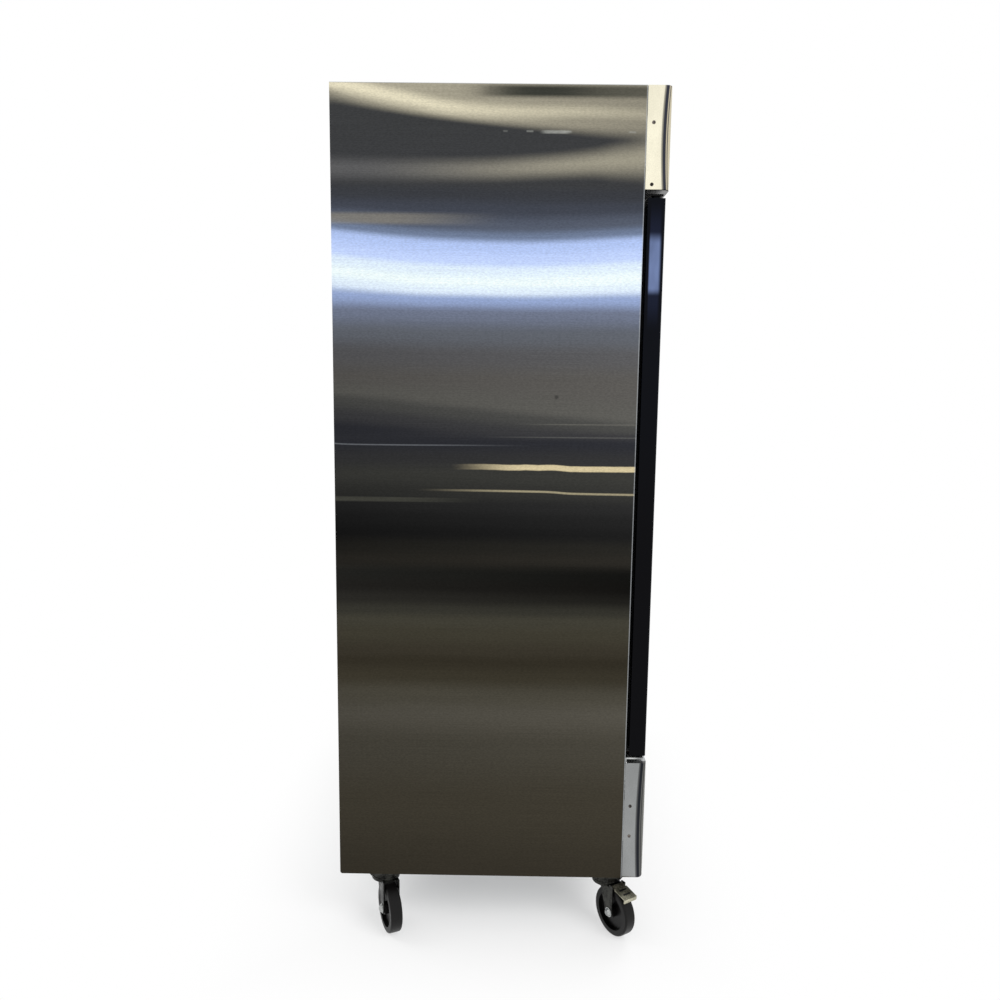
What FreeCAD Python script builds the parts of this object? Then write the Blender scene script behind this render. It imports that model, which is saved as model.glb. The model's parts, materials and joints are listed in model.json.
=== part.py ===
"""Two-section reach-in refrigerator with hinged glass doors, on swivel casters.

Millimetres. +Z is up and the floor is z = 0. The doors face -Y, the left door is at -X.
The origin is on the floor, under the middle of the cabinet.
The left half of what is symmetric is modelled, and the right half is its mirror image.
"""
import FreeCAD
import Part
import math
import os

V = FreeCAD.Vector
UP = V(0, 0, 1)
ALONG_X = V(1, 0, 0)
ALONG_Y = V(0, 1, 0)

# ---- driving dimensions: cabinet ----
CABINET_WIDTH = 1380.0
PANEL_DEPTH = 735.0          # side panel, front edge to back edge
CABINET_HEIGHT = 1960.0      # without the casters
CASTER_HEIGHT = 160.0
SHEET = 1.2                  # outer sheet metal
LINER = 1.0                  # inner sheet metal
WALL = 60.0                  # insulated wall, outer face to liner
PAN_FLANGE = 25.0            # return flange of a side panel
PANEL_CORNER = 6.0           # rounding of a side panel's lower back corner
SEAM = 1.0                   # open seam between the header or grille and the cabinet
PANEL_PLAY = 1.0             # back panel, rear grille and deck, clear of the side panels
PAST = 1.0                   # a cut runs this far past the face it opens
NEAR = 1.0                   # an edge this close to a face belongs to it
PARALLEL = 0.999             # directions whose cosine is above this run together

# ---- front: header, grille, doors ----
HEADER_PROJECTION = 58.0     # header front, ahead of the side panel's front edge
GRILLE_PROJECTION = 54.5
HEADER_HEIGHT = 233.0
GRILLE_HEIGHT = 316.0
TRIM_CORNER = 15.0           # rounded vertical corners of header and grille
GRILLE_LIP_ROUND = 5.0
DOOR_GAP_ABOVE = 17.0        # door to header
DOOR_GAP_BELOW = 19.0        # door to grille
DOOR_THICKNESS = 42.0
GASKET_GAP = 9.0             # cabinet face to the door frame's back
DOOR_SIDE_INSET = 2.0        # door edge, in from the cabinet's side
DOOR_MIDDLE_GAP = 6.0
STILE_WIDTH = 55.0
HANDLE_STILE_WIDTH = 75.0
RAIL_WIDTH = 55.0
FRAME_WALL = 4.0
DOOR_EDGE_ROUND = 6.0
POCKET_DEPTH = 12.0          # glazing pocket
GLASS_LIP = 6.0              # frame in front of the glass
PANE = 4.0
AIR_SPACE = 12.0
GLASS_SETTING = 2.0          # glass edge to the pocket's bottom
SPACER_WIDTH = 12.0
GASKET_WIDTH = 20.0
GASKET_CLEARANCE = 0.3
FREE_EDGE_GASKET_INSET = 15.0
GRIP_WIDTH = 28.0
GRIP_DEPTH = 24.0
GRIP_LIP = 8.0               # thickness of the pull lip
GRIP_UNDERCUT = 10.0
GRIP_FROM_EDGE = 19.0        # door edge to the mouth of the grip
GASKET_PAST_PIVOT = 1.0      # hinge-side gasket, further in than the pivot axis

# ---- hinges ----
PIVOT_INSET = 16.0           # pivot axis, in from the door's outer edge
PIN_RADIUS = 5.0
PIN_CLEARANCE = 0.05
PIN_REACH = 25.0             # pin inside the door
PIN_END_GAP = 2.0
HINGE_PLATE = 4.0
HINGE_GAP = 5.0              # door end to hinge plate
HINGE_LEG = 60.0
HINGE_LEG_THICKNESS = 3.0
HINGE_WIDTH = 38.0
BUSH_LENGTH = 40.0
BUSH_COLLAR = 11.0
RUN_CLEARANCE = 0.3
CLOSER_BAR_RADIUS = 4.0
CLOSER_BAR_LENGTH = 420.0

# ---- interior ----
OPENING_BOTTOM = 45.0        # door opening, above the door's lower edge
OPENING_TOP = 45.2           # door opening, below the door's upper edge
MULLION_WIDTH = 84.0
BEAM_DEPTH = 60.0            # mullion and header beam, front to back
FLOOR_SLAB = 55.0
CEILING_SLAB = 60.0
SILL_LEDGE = 40.0
SILL_STEP = 5.0              # sill above the liner floor
TRIM_RETURN = 2.0
TUBE_WALL = 1.5

# ---- shelves ----
SHELF_LEVELS = 4
FIRST_SHELF = 65.0           # first shelf above the liner floor
TOP_BAY = 355.0              # last shelf to the head of the door opening
SHELF_FRAME_RADIUS = 3.0
SHELF_WIRE_RADIUS = 1.8
SHELF_WIRES = 20
SHELF_SIDE_GAP = 4.0
SHELF_MIDDLE_GAP = 6.0
WIRE_SINK = 0.8
SHELF_END = 7.0              # cross rod, in from the end of the frame rods
SHELF_FRONT_PLAY = 2.0
SHELF_BACK_PLAY = 1.0
WIRE_SEAM = 45.0             # degrees, where a drawn wire's seam lies
STANDARD_WIDTH = 20.0
STANDARD_DEPTH = 12.0
STANDARD_WALL = 1.5
FRONT_STANDARD = 140.0       # behind the cabinet's face
BACK_STANDARD = 75.0         # ahead of the liner's back
STANDARD_END = 20.0          # short of the floor and of the head
MIDDLE_STANDARD_X = 24.0
CLIP_REACH = 18.0
CLIP_WIDTH = 16.0
CLIP_THICKNESS = 10.0
LIGHT_BAR_WIDTH = 12.0
LIGHT_BAR_DEPTH = 22.0
LIGHT_BAR_MARGIN = 20.0
LIGHT_BAR_SETBACK = 5.0      # ahead of the mullion's back

# ---- base ----
RAIL = 40.0                  # base frame tube
RAIL_TUBE_WALL = 2.0
BASE_SETBACK = 2.0           # frame, behind the side panel's front edge
TRAY_SHEET = 3.0

# ---- casters ----
CASTER_INSET = 45.0          # swivel axis, in from the cabinet's side
REAR_CASTER_INSET = 113.0    # swivel axis, ahead of the cabinet's back
FRONT_CASTER_INSET = 34.5    # swivel axis, behind the side panel's front edge
WHEEL_RADIUS = 63.5
WHEEL_WIDTH = 32.0
WHEEL_WEB = 12.0
HUB_RADIUS = 16.0
RIM_RADIUS = 48.0
TREAD_ROUND = 5.0
TRAIL = 40.0                 # wheel axle behind the swivel axis
FRONT_SWIVEL = 33.0          # degrees, front wheels turned out of square to the side
REAR_SWIVEL = 24.0
MOUNT_PLATE = 4.0
MOUNT_LENGTH = 76.0
MOUNT_WIDTH = 84.0
BOLT_SPACING_X = 68.0
BOLT_SPACING_Y = 58.0
BOLT_HOLE_RADIUS = 4.4
BOLT_RADIUS = 4.0
BOLT_HEAD = 6.5
BOLT_HEAD_HEIGHT = 5.0
MOUNT_CORNER = 6.0
RACE_RADIUS = 36.0
RACE_HEIGHT = 20.0
RACE_BEVEL = 3.0
FORK_PLATE = 5.0
FORK_RADIUS = 37.0
BRIDGE_REACH = 2.0           # bridge over the legs, beyond the crown
KING_PIN_RADIUS = 7.0
KING_PIN_CLEARANCE = 0.08
KING_PIN_RISE = 14.0
KING_PIN_END_GAP = 0.5
LEG_THICKNESS = 3.0
LEG_GAP = 3.0                # wheel tread to fork leg
BOSS_RADIUS = 13.0
AXLE_RADIUS = 5.0
AXLE_HEAD_RADIUS = 9.0
AXLE_HEAD = 5.0
PEDAL_WIDTH = 34.0           # between the fork legs
PAD_WIDTH = 40.0             # ahead of them
PAD_START = 13.0             # ahead of the pivot
PEDAL_THICKNESS = 3.0
PEDAL_PIVOT = (46.0, 133.0)  # along the trail, and height
PEDAL_TUBE_RADIUS = 5.0
PEDAL_PIN_RADIUS = 2.5
PEDAL_TIP = (100.0, 123.0)
PEDAL_LIP = 8.0
EAR = 7.0                    # fork leg round the pedal's pivot
SHOE_AT = 64.0
SHOE_LENGTH = 12.0
SHOE_CLEARANCE = 2.5
SHOE_SIDE_GAP = 4.0
SHOE_SINK = 1.0
SHOE_LEAST = 2.0

# ---- header and grille fixings ----
SCREW_HEAD_RADIUS = 4.0
SCREW_HEAD_HEIGHT = 1.6
SCREW_RADIUS = 2.0
SCREW_HOLE_RADIUS = 2.3
SCREW_LENGTH = 8.0
SCREW_FROM_EDGE = 16.0       # screw, ahead of the side panel's front edge
HEADER_SCREWS = (13.0, 151.0)     # above the header's lower edge
GRILLE_SCREWS = (117.0, 199.0)    # above the grille's lower edge
BRACKET_SHEET = 2.0
BRACKET_DEPTH = 32.0
BRACKET_FOOT = 24.0
BRACKET_END = 14.0           # bracket beyond its screw
BRACKET_GAP = 0.5            # bracket to hinge leg, front to back
BRACKET_ABOVE_HINGE = 5.0
SLOT_ROWS = 10
SLOT_COLUMNS = 4
SLOT_LENGTH = 270.0
SLOT_HEIGHT = 9.0
SLOT_PITCH = 18.0
SLOT_COLUMN_PITCH = 310.0
SLOTS_ABOVE_BASE = 70.0

# ---- controls on the grille ----
PANEL_WIDTH = 130.0
PANEL_HEIGHT = 34.0
PANEL_PROUD = 2.0
PANEL_BODY_DEPTH = 40.0
PANEL_SIDE_INSET = 190.0     # panel's middle, in from the cabinet's side
PANEL_ABOVE_BASE = 284.0
CUTOUT_MARGIN = 6.0          # bezel beyond the hole in the grille, and half of it above and below
PANEL_FIT = 1.0              # hole in the grille to the thermostat's body
BUTTON_RADIUS = 4.0
BUTTON_LENGTH = 5.0
BUTTON_PROUD = 1.0
BUTTON_CLEARANCE = 0.3
BUTTON_POCKET = 6.5
BUTTON_ROUND = 0.6
BUTTON_OFFSETS = (8.0, 24.0)
ROCKER_OFFSET = 46.0
ROCKER_RADIUS = 7.0
ROCKER_WIDTH = 11.0
ROCKER_PROUD = 0.5
ROCKER_CUT = 14.0            # degrees of each half face
ROCKER_CUT_DEPTH = 1.5

# ---- worked-out places ----
HALF = CABINET_WIDTH / 2
BASE = CASTER_HEIGHT
TOP = BASE + CABINET_HEIGHT
FRONT = -(PANEL_DEPTH + HEADER_PROJECTION) / 2 + HEADER_PROJECTION
BACK = FRONT + PANEL_DEPTH
SKIN_BACK = BACK - SHEET             # inner face of a side panel's back flange
BACK_FOAM = SKIN_BACK - SHEET        # front face of the back panel
HEADER_FRONT = FRONT - HEADER_PROJECTION
GRILLE_FRONT = FRONT - GRILLE_PROJECTION
HEADER_BOTTOM = TOP - HEADER_HEIGHT
GRILLE_TOP = BASE + GRILLE_HEIGHT
DOOR_BOTTOM = GRILLE_TOP + DOOR_GAP_BELOW
DOOR_TOP = HEADER_BOTTOM - DOOR_GAP_ABOVE
DOOR_REAR = FRONT - GASKET_GAP
DOOR_FRONT = DOOR_REAR - DOOR_THICKNESS
DOOR_OUT = -HALF + DOOR_SIDE_INSET
DOOR_FREE = -DOOR_MIDDLE_GAP / 2
PIVOT_X = DOOR_OUT + PIVOT_INSET
PIVOT_Y = (DOOR_FRONT + DOOR_REAR) / 2
OPEN_LOW = DOOR_BOTTOM + OPENING_BOTTOM
OPEN_HIGH = DOOR_TOP - OPENING_TOP
LINER_X = HALF - WALL
LINER_BACK = BACK - WALL
FLOOR = OPEN_LOW - SILL_STEP
SHELF_PITCH = (OPEN_HIGH - TOP_BAY - FLOOR - FIRST_SHELF) / (SHELF_LEVELS - 1)
SIDE_STANDARD_Y = (FRONT + FRONT_STANDARD, LINER_BACK - BACK_STANDARD)
REAR_CASTER_Y = BACK - REAR_CASTER_INSET
FRONT_CASTER_Y = FRONT + FRONT_CASTER_INSET
CEILING = TOP - CEILING_SLAB
DECK_TOP = FLOOR - FLOOR_SLAB
DECK = DECK_TOP - SHEET
MULLION = MULLION_WIDTH / 2
BEAM_BACK = FRONT + BEAM_DEPTH
GLASS_FRONT = DOOR_FRONT + GLASS_LIP
GLASS_BACK = GLASS_FRONT + 2 * PANE + AIR_SPACE
RAIL_OUT = HALF - PAN_FLANGE
RAIL_IN = RAIL_OUT - RAIL
RAIL_TOP = BASE + RAIL
PANEL_AT = (HALF - PANEL_SIDE_INSET, PANEL_ABOVE_BASE)
BUTTON_X = tuple(PANEL_AT[0] + offset for offset in BUTTON_OFFSETS)
ROCKER_X = PANEL_AT[0] + ROCKER_OFFSET


def box(x0, x1, y0, y1, z0, z1):
    """Block between two corners."""
    return Part.makeBox(x1 - x0, y1 - y0, z1 - z0, V(x0, y0, z0))


def rod(radius, length, start, axis):
    return Part.makeCylinder(radius, length, start, axis)


def mirrored(shape):
    """The same piece on the right-hand side."""
    return shape.mirror(V(0, 0, 0), ALONG_X)


def both(shapes):
    """Left-hand pieces and their right-hand twins."""
    return list(shapes) + [mirrored(s) for s in shapes]


def fused(shapes):
    return shapes[0].multiFuse(shapes[1:]).removeSplitter()


def outline(points, normal_length):
    """Prism over a closed outline of points; normal_length is the extrusion vector."""
    return Part.Face(Part.makePolygon(points + [points[0]])).extrude(normal_length)


def hexagon(middle, radius, across, up):
    """Six corners round a middle point, the first of them along across."""
    turns = [math.tau * i / 6 for i in range(6)]
    return [middle + across * (radius * math.cos(t)) + up * (radius * math.sin(t)) for t in turns]


def edges_along(shape, axis, keep):
    """Straight edges parallel to axis whose middle passes the keep test."""
    chosen = []
    for edge in shape.Edges:
        if len(edge.Vertexes) != 2:
            continue
        run = edge.Vertexes[1].Point - edge.Vertexes[0].Point
        if run.Length > 0 and abs(run.normalize().dot(axis)) > PARALLEL and keep(edge.CenterOfMass):
            chosen.append(edge)
    return chosen


def corners_of(x, y, width, depth, z):
    """Four points of a level rectangle round a middle point."""
    return [V(x + sx * width / 2, y + sy * depth / 2, z) for sx in (-1, 1) for sy in (-1, 1)]


def rims(shape):
    """Closed round edges."""
    return [edge for edge in shape.Edges if len(edge.Vertexes) == 1]


def tube(x0, x1, y0, y1, z0, z1, wall, axis):
    """Open-ended rectangular tube, hollow along the axis letter."""
    trim = {"x": (0, wall, wall), "y": (wall, 0, wall), "z": (wall, wall, 0)}[axis]
    core = box(x0 + trim[0], x1 - trim[0], y0 + trim[1], y1 - trim[1], z0 + trim[2], z1 - trim[2])
    return box(x0, x1, y0, y1, z0, z1).cut(core)


def save(name, shapes):
    """One STEP file of separate solids."""
    solids = [solid for shape in shapes for solid in shape.Solids]
    whole = solids[0] if len(solids) == 1 else Part.makeCompound(solids)
    whole.exportStep(os.path.join("parts", name + ".step"))
    volume = sum(solid.Volume for solid in solids)
    print(name, len(solids), all(solid.isValid() for solid in solids), round(volume), "mm3")


# ---------------------------------------------------------------- cabinet
def side_panel():
    """Stainless pan: a flat face with a return flange on all four edges."""
    top = TOP - SHEET

    def rounded(inset, x_in):
        block = box(-HALF + inset, x_in, FRONT + inset, BACK - inset, BASE + inset, top - inset)
        corner = edges_along(block, ALONG_X, lambda p: p.y > 0 and p.z < BASE + PANEL_DEPTH)
        return block.makeFillet(PANEL_CORNER - inset, corner)

    return rounded(0, -RAIL_OUT).cut(rounded(SHEET, -RAIL_OUT + PAST))


def top_panel():
    return [box(-HALF, HALF, FRONT, BACK, TOP - SHEET, TOP)]


def back_panel():
    inset = SHEET + PANEL_PLAY
    return [box(-HALF + inset, HALF - inset, BACK_FOAM, SKIN_BACK, DECK, TOP - 2 * SHEET - SEAM)]


def insulation():
    """Foam between the outer sheets and the liner: two sides, back, top and floor."""
    face = FRONT + SHEET
    liner_out = LINER_X + LINER
    under_top = TOP - 2 * SHEET
    side = box(-HALF + SHEET, -liner_out, face, BACK_FOAM, DECK_TOP, under_top)
    back = box(-liner_out, liner_out, LINER_BACK + LINER, BACK_FOAM, DECK_TOP, under_top)
    ceiling = box(-liner_out, liner_out, face, LINER_BACK + LINER, CEILING + LINER, under_top)
    floor = box(-liner_out, liner_out, face, LINER_BACK + LINER, DECK_TOP, FLOOR - LINER)
    return both([side]) + [back, ceiling, floor]


def inner_liner():
    face = FRONT + SHEET
    side = box(-LINER_X - LINER, -LINER_X, face, LINER_BACK + LINER, FLOOR - LINER, CEILING + LINER)
    back = box(-LINER_X, LINER_X, LINER_BACK, LINER_BACK + LINER, FLOOR - LINER, CEILING + LINER)
    floor = box(-LINER_X, LINER_X, face, LINER_BACK, FLOOR - LINER, FLOOR)
    ceiling = box(-LINER_X, LINER_X, face, LINER_BACK, CEILING, CEILING + LINER)
    return both([side]) + [back, floor, ceiling]


def header_beam():
    return [box(-LINER_X, LINER_X, FRONT + SHEET, BEAM_BACK, OPEN_HIGH + SHEET, CEILING)]


def front_face_trim():
    """Dark thermal-break trim round the door opening."""
    inner = FRONT + SHEET
    side_face = box(-RAIL_OUT, -LINER_X, FRONT, inner, DECK_TOP, TOP - 2 * SHEET)
    side_return = box(-LINER_X, -LINER_X + TRIM_RETURN, FRONT, BEAM_BACK, OPEN_LOW, OPEN_HIGH)
    sill = box(-LINER_X, LINER_X, FRONT, inner, DECK_TOP, OPEN_LOW)
    ledge = box(-LINER_X, LINER_X, inner, FRONT + SILL_LEDGE, FLOOR, OPEN_LOW)
    head = box(-LINER_X, LINER_X, FRONT, inner, OPEN_HIGH, TOP - 2 * SHEET)
    under_beam = box(-LINER_X, LINER_X, inner, BEAM_BACK, OPEN_HIGH, OPEN_HIGH + SHEET)
    return both([fused([side_face, side_return])]) + [fused([sill, ledge]), fused([head, under_beam])]


def center_mullion():
    return [tube(-MULLION, MULLION, FRONT, BEAM_BACK, OPEN_LOW, OPEN_HIGH, TUBE_WALL, "z")]


def base_frame():
    """Square-tube frame, corner posts and the sheet deck that carries the insulated box."""
    front = FRONT + BASE_SETBACK
    back = BACK_FOAM
    deck_x = HALF - SHEET - PANEL_PLAY
    side = tube(-RAIL_OUT, -RAIL_IN, front + RAIL, back - RAIL, BASE, RAIL_TOP, RAIL_TUBE_WALL, "y")
    cross = [tube(-RAIL_OUT, RAIL_OUT, y, y + RAIL, BASE, RAIL_TOP, RAIL_TUBE_WALL, "x")
             for y in (front, back - RAIL)]
    posts = [tube(-RAIL_OUT, -RAIL_IN, y, y + RAIL, RAIL_TOP, DECK, RAIL_TUBE_WALL, "z")
             for y in (front, back - RAIL)]
    deck = box(-deck_x, deck_x, front, back, DECK, DECK_TOP)
    return both([side] + posts) + cross + [deck]


# ---------------------------------------------------------------- header and grille
def trim_cover(front, low, high, lip_round):
    """Sheet cover with rounded vertical corners, closed above and below and open at the back."""
    rear = FRONT - SEAM

    def body(inset, y_back):
        block = box(-HALF + inset, HALF - inset, front + inset, y_back, low + inset, high - inset)
        near_front = front + inset + NEAR
        block = block.makeFillet(TRIM_CORNER - inset, edges_along(block, UP, lambda p: p.y < near_front))
        if lip_round:
            lower = edges_along(block, ALONG_X, lambda p: p.z < low + inset + NEAR and p.y < near_front)
            block = block.makeFillet(lip_round - inset, lower)
        return block

    return body(0, rear).cut(body(SHEET, rear + PAST))


def screw_heights():
    return [HEADER_BOTTOM + h for h in HEADER_SCREWS] + [BASE + h for h in GRILLE_SCREWS]


def screw_holes():
    depth = SHEET + BRACKET_SHEET + 2 * PAST
    y = FRONT - SCREW_FROM_EDGE
    return both([rod(SCREW_HOLE_RADIUS, depth, V(-HALF - PAST, y, z), ALONG_X) for z in screw_heights()])


def hinge_relief(z0, z1):
    """Opening along the rear edge of a cover, where the hinge legs pass."""
    return box(-HALF, HALF, FRONT - 2 * HINGE_LEG_THICKNESS, FRONT, z0, z1)


def header_panel():
    cover = trim_cover(HEADER_FRONT, HEADER_BOTTOM, TOP, 0)
    relief = hinge_relief(HEADER_BOTTOM - PAST, HEADER_BOTTOM + SHEET)
    return [cover.cut(relief).cut(Part.makeCompound(screw_holes()))]


def grille_slots():
    """Stadium slots in rows and columns, clear of the control panel."""
    slots = []
    y0, y1 = GRILLE_FRONT - PAST, GRILLE_FRONT + SHEET + PAST
    for column in range(SLOT_COLUMNS):
        x = (column - (SLOT_COLUMNS - 1) / 2) * SLOT_COLUMN_PITCH
        for row in range(SLOT_ROWS):
            z = BASE + SLOTS_ABOVE_BASE + row * SLOT_PITCH
            straight = SLOT_LENGTH - SLOT_HEIGHT
            slot = box(x - straight / 2, x + straight / 2, y0, y1, z - SLOT_HEIGHT / 2, z + SLOT_HEIGHT / 2)
            ends = [rod(SLOT_HEIGHT / 2, y1 - y0, V(x + s * straight / 2, y0, z), ALONG_Y) for s in (-1, 1)]
            slots.append(slot.multiFuse(ends))
    return slots


def panel_center():
    return PANEL_AT[0], BASE + PANEL_AT[1]


def lower_grille():
    cover = trim_cover(GRILLE_FRONT, BASE, GRILLE_TOP, GRILLE_LIP_ROUND)
    x, z = panel_center()
    half_x = PANEL_WIDTH / 2 - CUTOUT_MARGIN
    half_z = (PANEL_HEIGHT - CUTOUT_MARGIN) / 2
    y0, y1 = GRILLE_FRONT - PAST, GRILLE_FRONT + SHEET + PAST
    cutout = box(x - half_x, x + half_x, y0, y1, z - half_z, z + half_z)
    holes = Part.makeCompound(screw_holes() + grille_slots() + [cutout])
    return [cover.cut(hinge_relief(GRILLE_TOP - SHEET, GRILLE_TOP + PAST)).cut(holes)]


def trim_brackets():
    """Angles inside the header and the grille that take their side screws."""
    out = -HALF + SHEET
    brackets = []
    header_low, header_high = [HEADER_BOTTOM + h for h in HEADER_SCREWS]
    grille_low, grille_high = [BASE + h for h in GRILLE_SCREWS]
    clear_of_hinge = DOOR_TOP + HINGE_GAP + HINGE_LEG + BRACKET_ABOVE_HINGE
    lowest = max(header_low - BRACKET_END, HEADER_BOTTOM + SHEET)
    spans = [(lowest, header_high + BRACKET_END, clear_of_hinge),
             (grille_low - BRACKET_END, grille_high + BRACKET_END, grille_low - BRACKET_END)]
    leg_back = FRONT - HINGE_LEG_THICKNESS - BRACKET_GAP
    for low, high, foot_low in spans:
        leg = box(out, out + BRACKET_SHEET, FRONT - BRACKET_DEPTH, leg_back, low, high)
        foot = box(out, out + BRACKET_FOOT, FRONT - BRACKET_SHEET, FRONT, foot_low, high)
        web = box(out, out + BRACKET_SHEET, FRONT - BRACKET_DEPTH, FRONT, foot_low, high)
        brackets.append(fused([leg, web, foot]))
    holes = Part.makeCompound(screw_holes())
    return [b.cut(holes) for b in both(brackets)]


def trim_screws():
    y = FRONT - SCREW_FROM_EDGE
    screws = []
    for z in screw_heights():
        head = rod(SCREW_HEAD_RADIUS, SCREW_HEAD_HEIGHT, V(-HALF - SCREW_HEAD_HEIGHT, y, z), ALONG_X)
        outer = [e for e in rims(head) if e.CenterOfMass.x < -HALF - SCREW_HEAD_HEIGHT / 2]
        head = head.makeFillet(SCREW_HEAD_HEIGHT / 2, outer)
        shank = rod(SCREW_RADIUS, SCREW_LENGTH, V(-HALF, y, z), ALONG_X)
        screws.append(fused([head, shank]))
    return both(screws)


# ---------------------------------------------------------------- hinges
def hinge_brackets():
    """Bent plates on the cabinet face, each with a pivot pin that enters the door."""
    x0, x1 = DOOR_OUT, DOOR_OUT + HINGE_WIDTH
    y0 = DOOR_FRONT + DOOR_EDGE_ROUND
    legs = FRONT - HINGE_LEG_THICKNESS
    low_top = DOOR_BOTTOM - HINGE_GAP
    lower = fused([box(x0, x1, y0, FRONT, low_top - HINGE_PLATE, low_top),
                   box(x0, x1, legs, FRONT, low_top - HINGE_LEG, low_top),
                   rod(PIN_RADIUS, HINGE_GAP + PIN_REACH, V(PIVOT_X, PIVOT_Y, low_top), UP)])
    high_low = DOOR_TOP + HINGE_GAP
    upper = fused([box(x0, x1, y0, FRONT, high_low, high_low + HINGE_PLATE),
                   box(x0, x1, legs, FRONT, high_low, high_low + HINGE_LEG),
                   rod(PIN_RADIUS, HINGE_GAP + PIN_REACH, V(PIVOT_X, PIVOT_Y, DOOR_TOP - PIN_REACH), UP)])
    return both([lower, upper])


def hinge_bushes():
    """Nylon blocks in the ends of the hinge stile, bored for the pivot pins."""
    fit = RUN_CLEARANCE
    x0, x1 = DOOR_OUT + FRAME_WALL + fit, DOOR_OUT + STILE_WIDTH - POCKET_DEPTH - FRAME_WALL - fit
    y0, y1 = DOOR_FRONT + FRAME_WALL + fit, DOOR_REAR - FRAME_WALL - fit
    collar = HINGE_GAP - RUN_CLEARANCE
    bore = PIN_RADIUS + PIN_CLEARANCE
    bushes = []
    for end, inward in ((DOOR_BOTTOM, 1), (DOOR_TOP, -1)):
        far = end + inward * BUSH_LENGTH
        block = box(x0, x1, y0, y1, min(end, far), max(end, far))
        ring = rod(BUSH_COLLAR, collar, V(PIVOT_X, PIVOT_Y, end), V(0, 0, -inward))
        mouth = V(PIVOT_X, PIVOT_Y, end - inward * (collar + PAST))
        hole = rod(bore, PAST + collar + PIN_REACH + PIN_END_GAP, mouth, V(0, 0, inward))
        bushes.append(block.fuse(ring).cut(hole))
    return bushes


# ---------------------------------------------------------------- doors
def stile_profile_cut(x0, x1):
    """Glazing pocket of a stile, between two heights that run past its ends."""
    return box(x0, x1, GLASS_FRONT, GLASS_BACK, DOOR_BOTTOM + RAIL_WIDTH - POCKET_DEPTH,
               DOOR_TOP - RAIL_WIDTH + POCKET_DEPTH)


def door_frame():
    """Hinge stile and the two rails, hollow extrusions."""
    inner = DOOR_OUT + STILE_WIDTH
    stile = box(DOOR_OUT, inner, DOOR_FRONT, DOOR_REAR, DOOR_BOTTOM, DOOR_TOP)
    corner = edges_along(stile, UP, lambda p: p.y < DOOR_FRONT + NEAR and p.x < DOOR_OUT + NEAR)
    stile = stile.makeFillet(DOOR_EDGE_ROUND, corner)
    stile = stile.cut(stile_profile_cut(inner - POCKET_DEPTH, inner))
    stile = stile.cut(box(DOOR_OUT + FRAME_WALL, inner - POCKET_DEPTH - FRAME_WALL, DOOR_FRONT + FRAME_WALL,
                          DOOR_REAR - FRAME_WALL, DOOR_BOTTOM, DOOR_TOP))
    rails = []
    for z0, pocket, hollow in ((DOOR_BOTTOM, RAIL_WIDTH - POCKET_DEPTH, 0),
                               (DOOR_TOP - RAIL_WIDTH, 0, POCKET_DEPTH)):
        x0, x1 = inner, DOOR_FREE - HANDLE_STILE_WIDTH
        rail = box(x0, x1, DOOR_FRONT, DOOR_REAR, z0, z0 + RAIL_WIDTH)
        rail = rail.cut(box(x0, x1, GLASS_FRONT, GLASS_BACK, z0 + pocket, z0 + pocket + POCKET_DEPTH))
        rail = rail.cut(box(x0, x1, DOOR_FRONT + FRAME_WALL, DOOR_REAR - FRAME_WALL, z0 + hollow + FRAME_WALL,
                            z0 + hollow + RAIL_WIDTH - POCKET_DEPTH - FRAME_WALL))
        rails.append(rail)
    return [stile] + rails


def closer_bar():
    """Torsion bar of the self-closing hinge, seated in the lower bush."""
    low = DOOR_BOTTOM + BUSH_LENGTH
    return rod(CLOSER_BAR_RADIUS, CLOSER_BAR_LENGTH, V(PIVOT_X, PIVOT_Y, low), UP)


def handle_stile():
    """Full-height stile with a recessed grip and a pull lip along its free edge."""
    x1 = DOOR_FREE
    x0 = x1 - HANDLE_STILE_WIDTH
    stile = box(x0, x1, DOOR_FRONT, DOOR_REAR, DOOR_BOTTOM, DOOR_TOP)
    corner = edges_along(stile, UP, lambda p: p.x > x1 - NEAR and p.y < DOOR_FRONT + NEAR)
    stile = stile.makeFillet(DOOR_EDGE_ROUND / 2, corner)
    stile = stile.cut(stile_profile_cut(x0, x0 + POCKET_DEPTH))
    mouth = x1 - GRIP_FROM_EDGE
    bottom = DOOR_FRONT + GRIP_DEPTH
    groove = box(mouth - GRIP_WIDTH, mouth, DOOR_FRONT - PAST, bottom, DOOR_BOTTOM, DOOR_TOP)
    undercut = box(mouth, mouth + GRIP_UNDERCUT, DOOR_FRONT + GRIP_LIP, bottom, DOOR_BOTTOM, DOOR_TOP)
    hollow = box(x0 + POCKET_DEPTH + FRAME_WALL, x1 - FRAME_WALL, bottom + FRAME_WALL, DOOR_REAR - FRAME_WALL,
                 DOOR_BOTTOM, DOOR_TOP)
    return [stile.cut(Part.makeCompound([groove, undercut, hollow]))]


def glass_edges():
    depth = POCKET_DEPTH - GLASS_SETTING
    return (DOOR_OUT + STILE_WIDTH - depth, DOOR_FREE - HANDLE_STILE_WIDTH + depth,
            DOOR_BOTTOM + RAIL_WIDTH - depth, DOOR_TOP - RAIL_WIDTH + depth)


def glass_panes():
    x0, x1, z0, z1 = glass_edges()
    return [box(x0, x1, y, y + PANE, z0, z1) for y in (GLASS_FRONT, GLASS_BACK - PANE)]


def ring(x0, x1, y0, y1, z0, z1, width):
    """Rectangular ring in the door's plane."""
    hole = box(x0 + width, x1 - width, y0, y1, z0 + width, z1 - width)
    return box(x0, x1, y0, y1, z0, z1).cut(hole)


def glass_spacer():
    x0, x1, z0, z1 = glass_edges()
    return [ring(x0, x1, GLASS_FRONT + PANE, GLASS_BACK - PANE, z0, z1, SPACER_WIDTH)]


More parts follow.
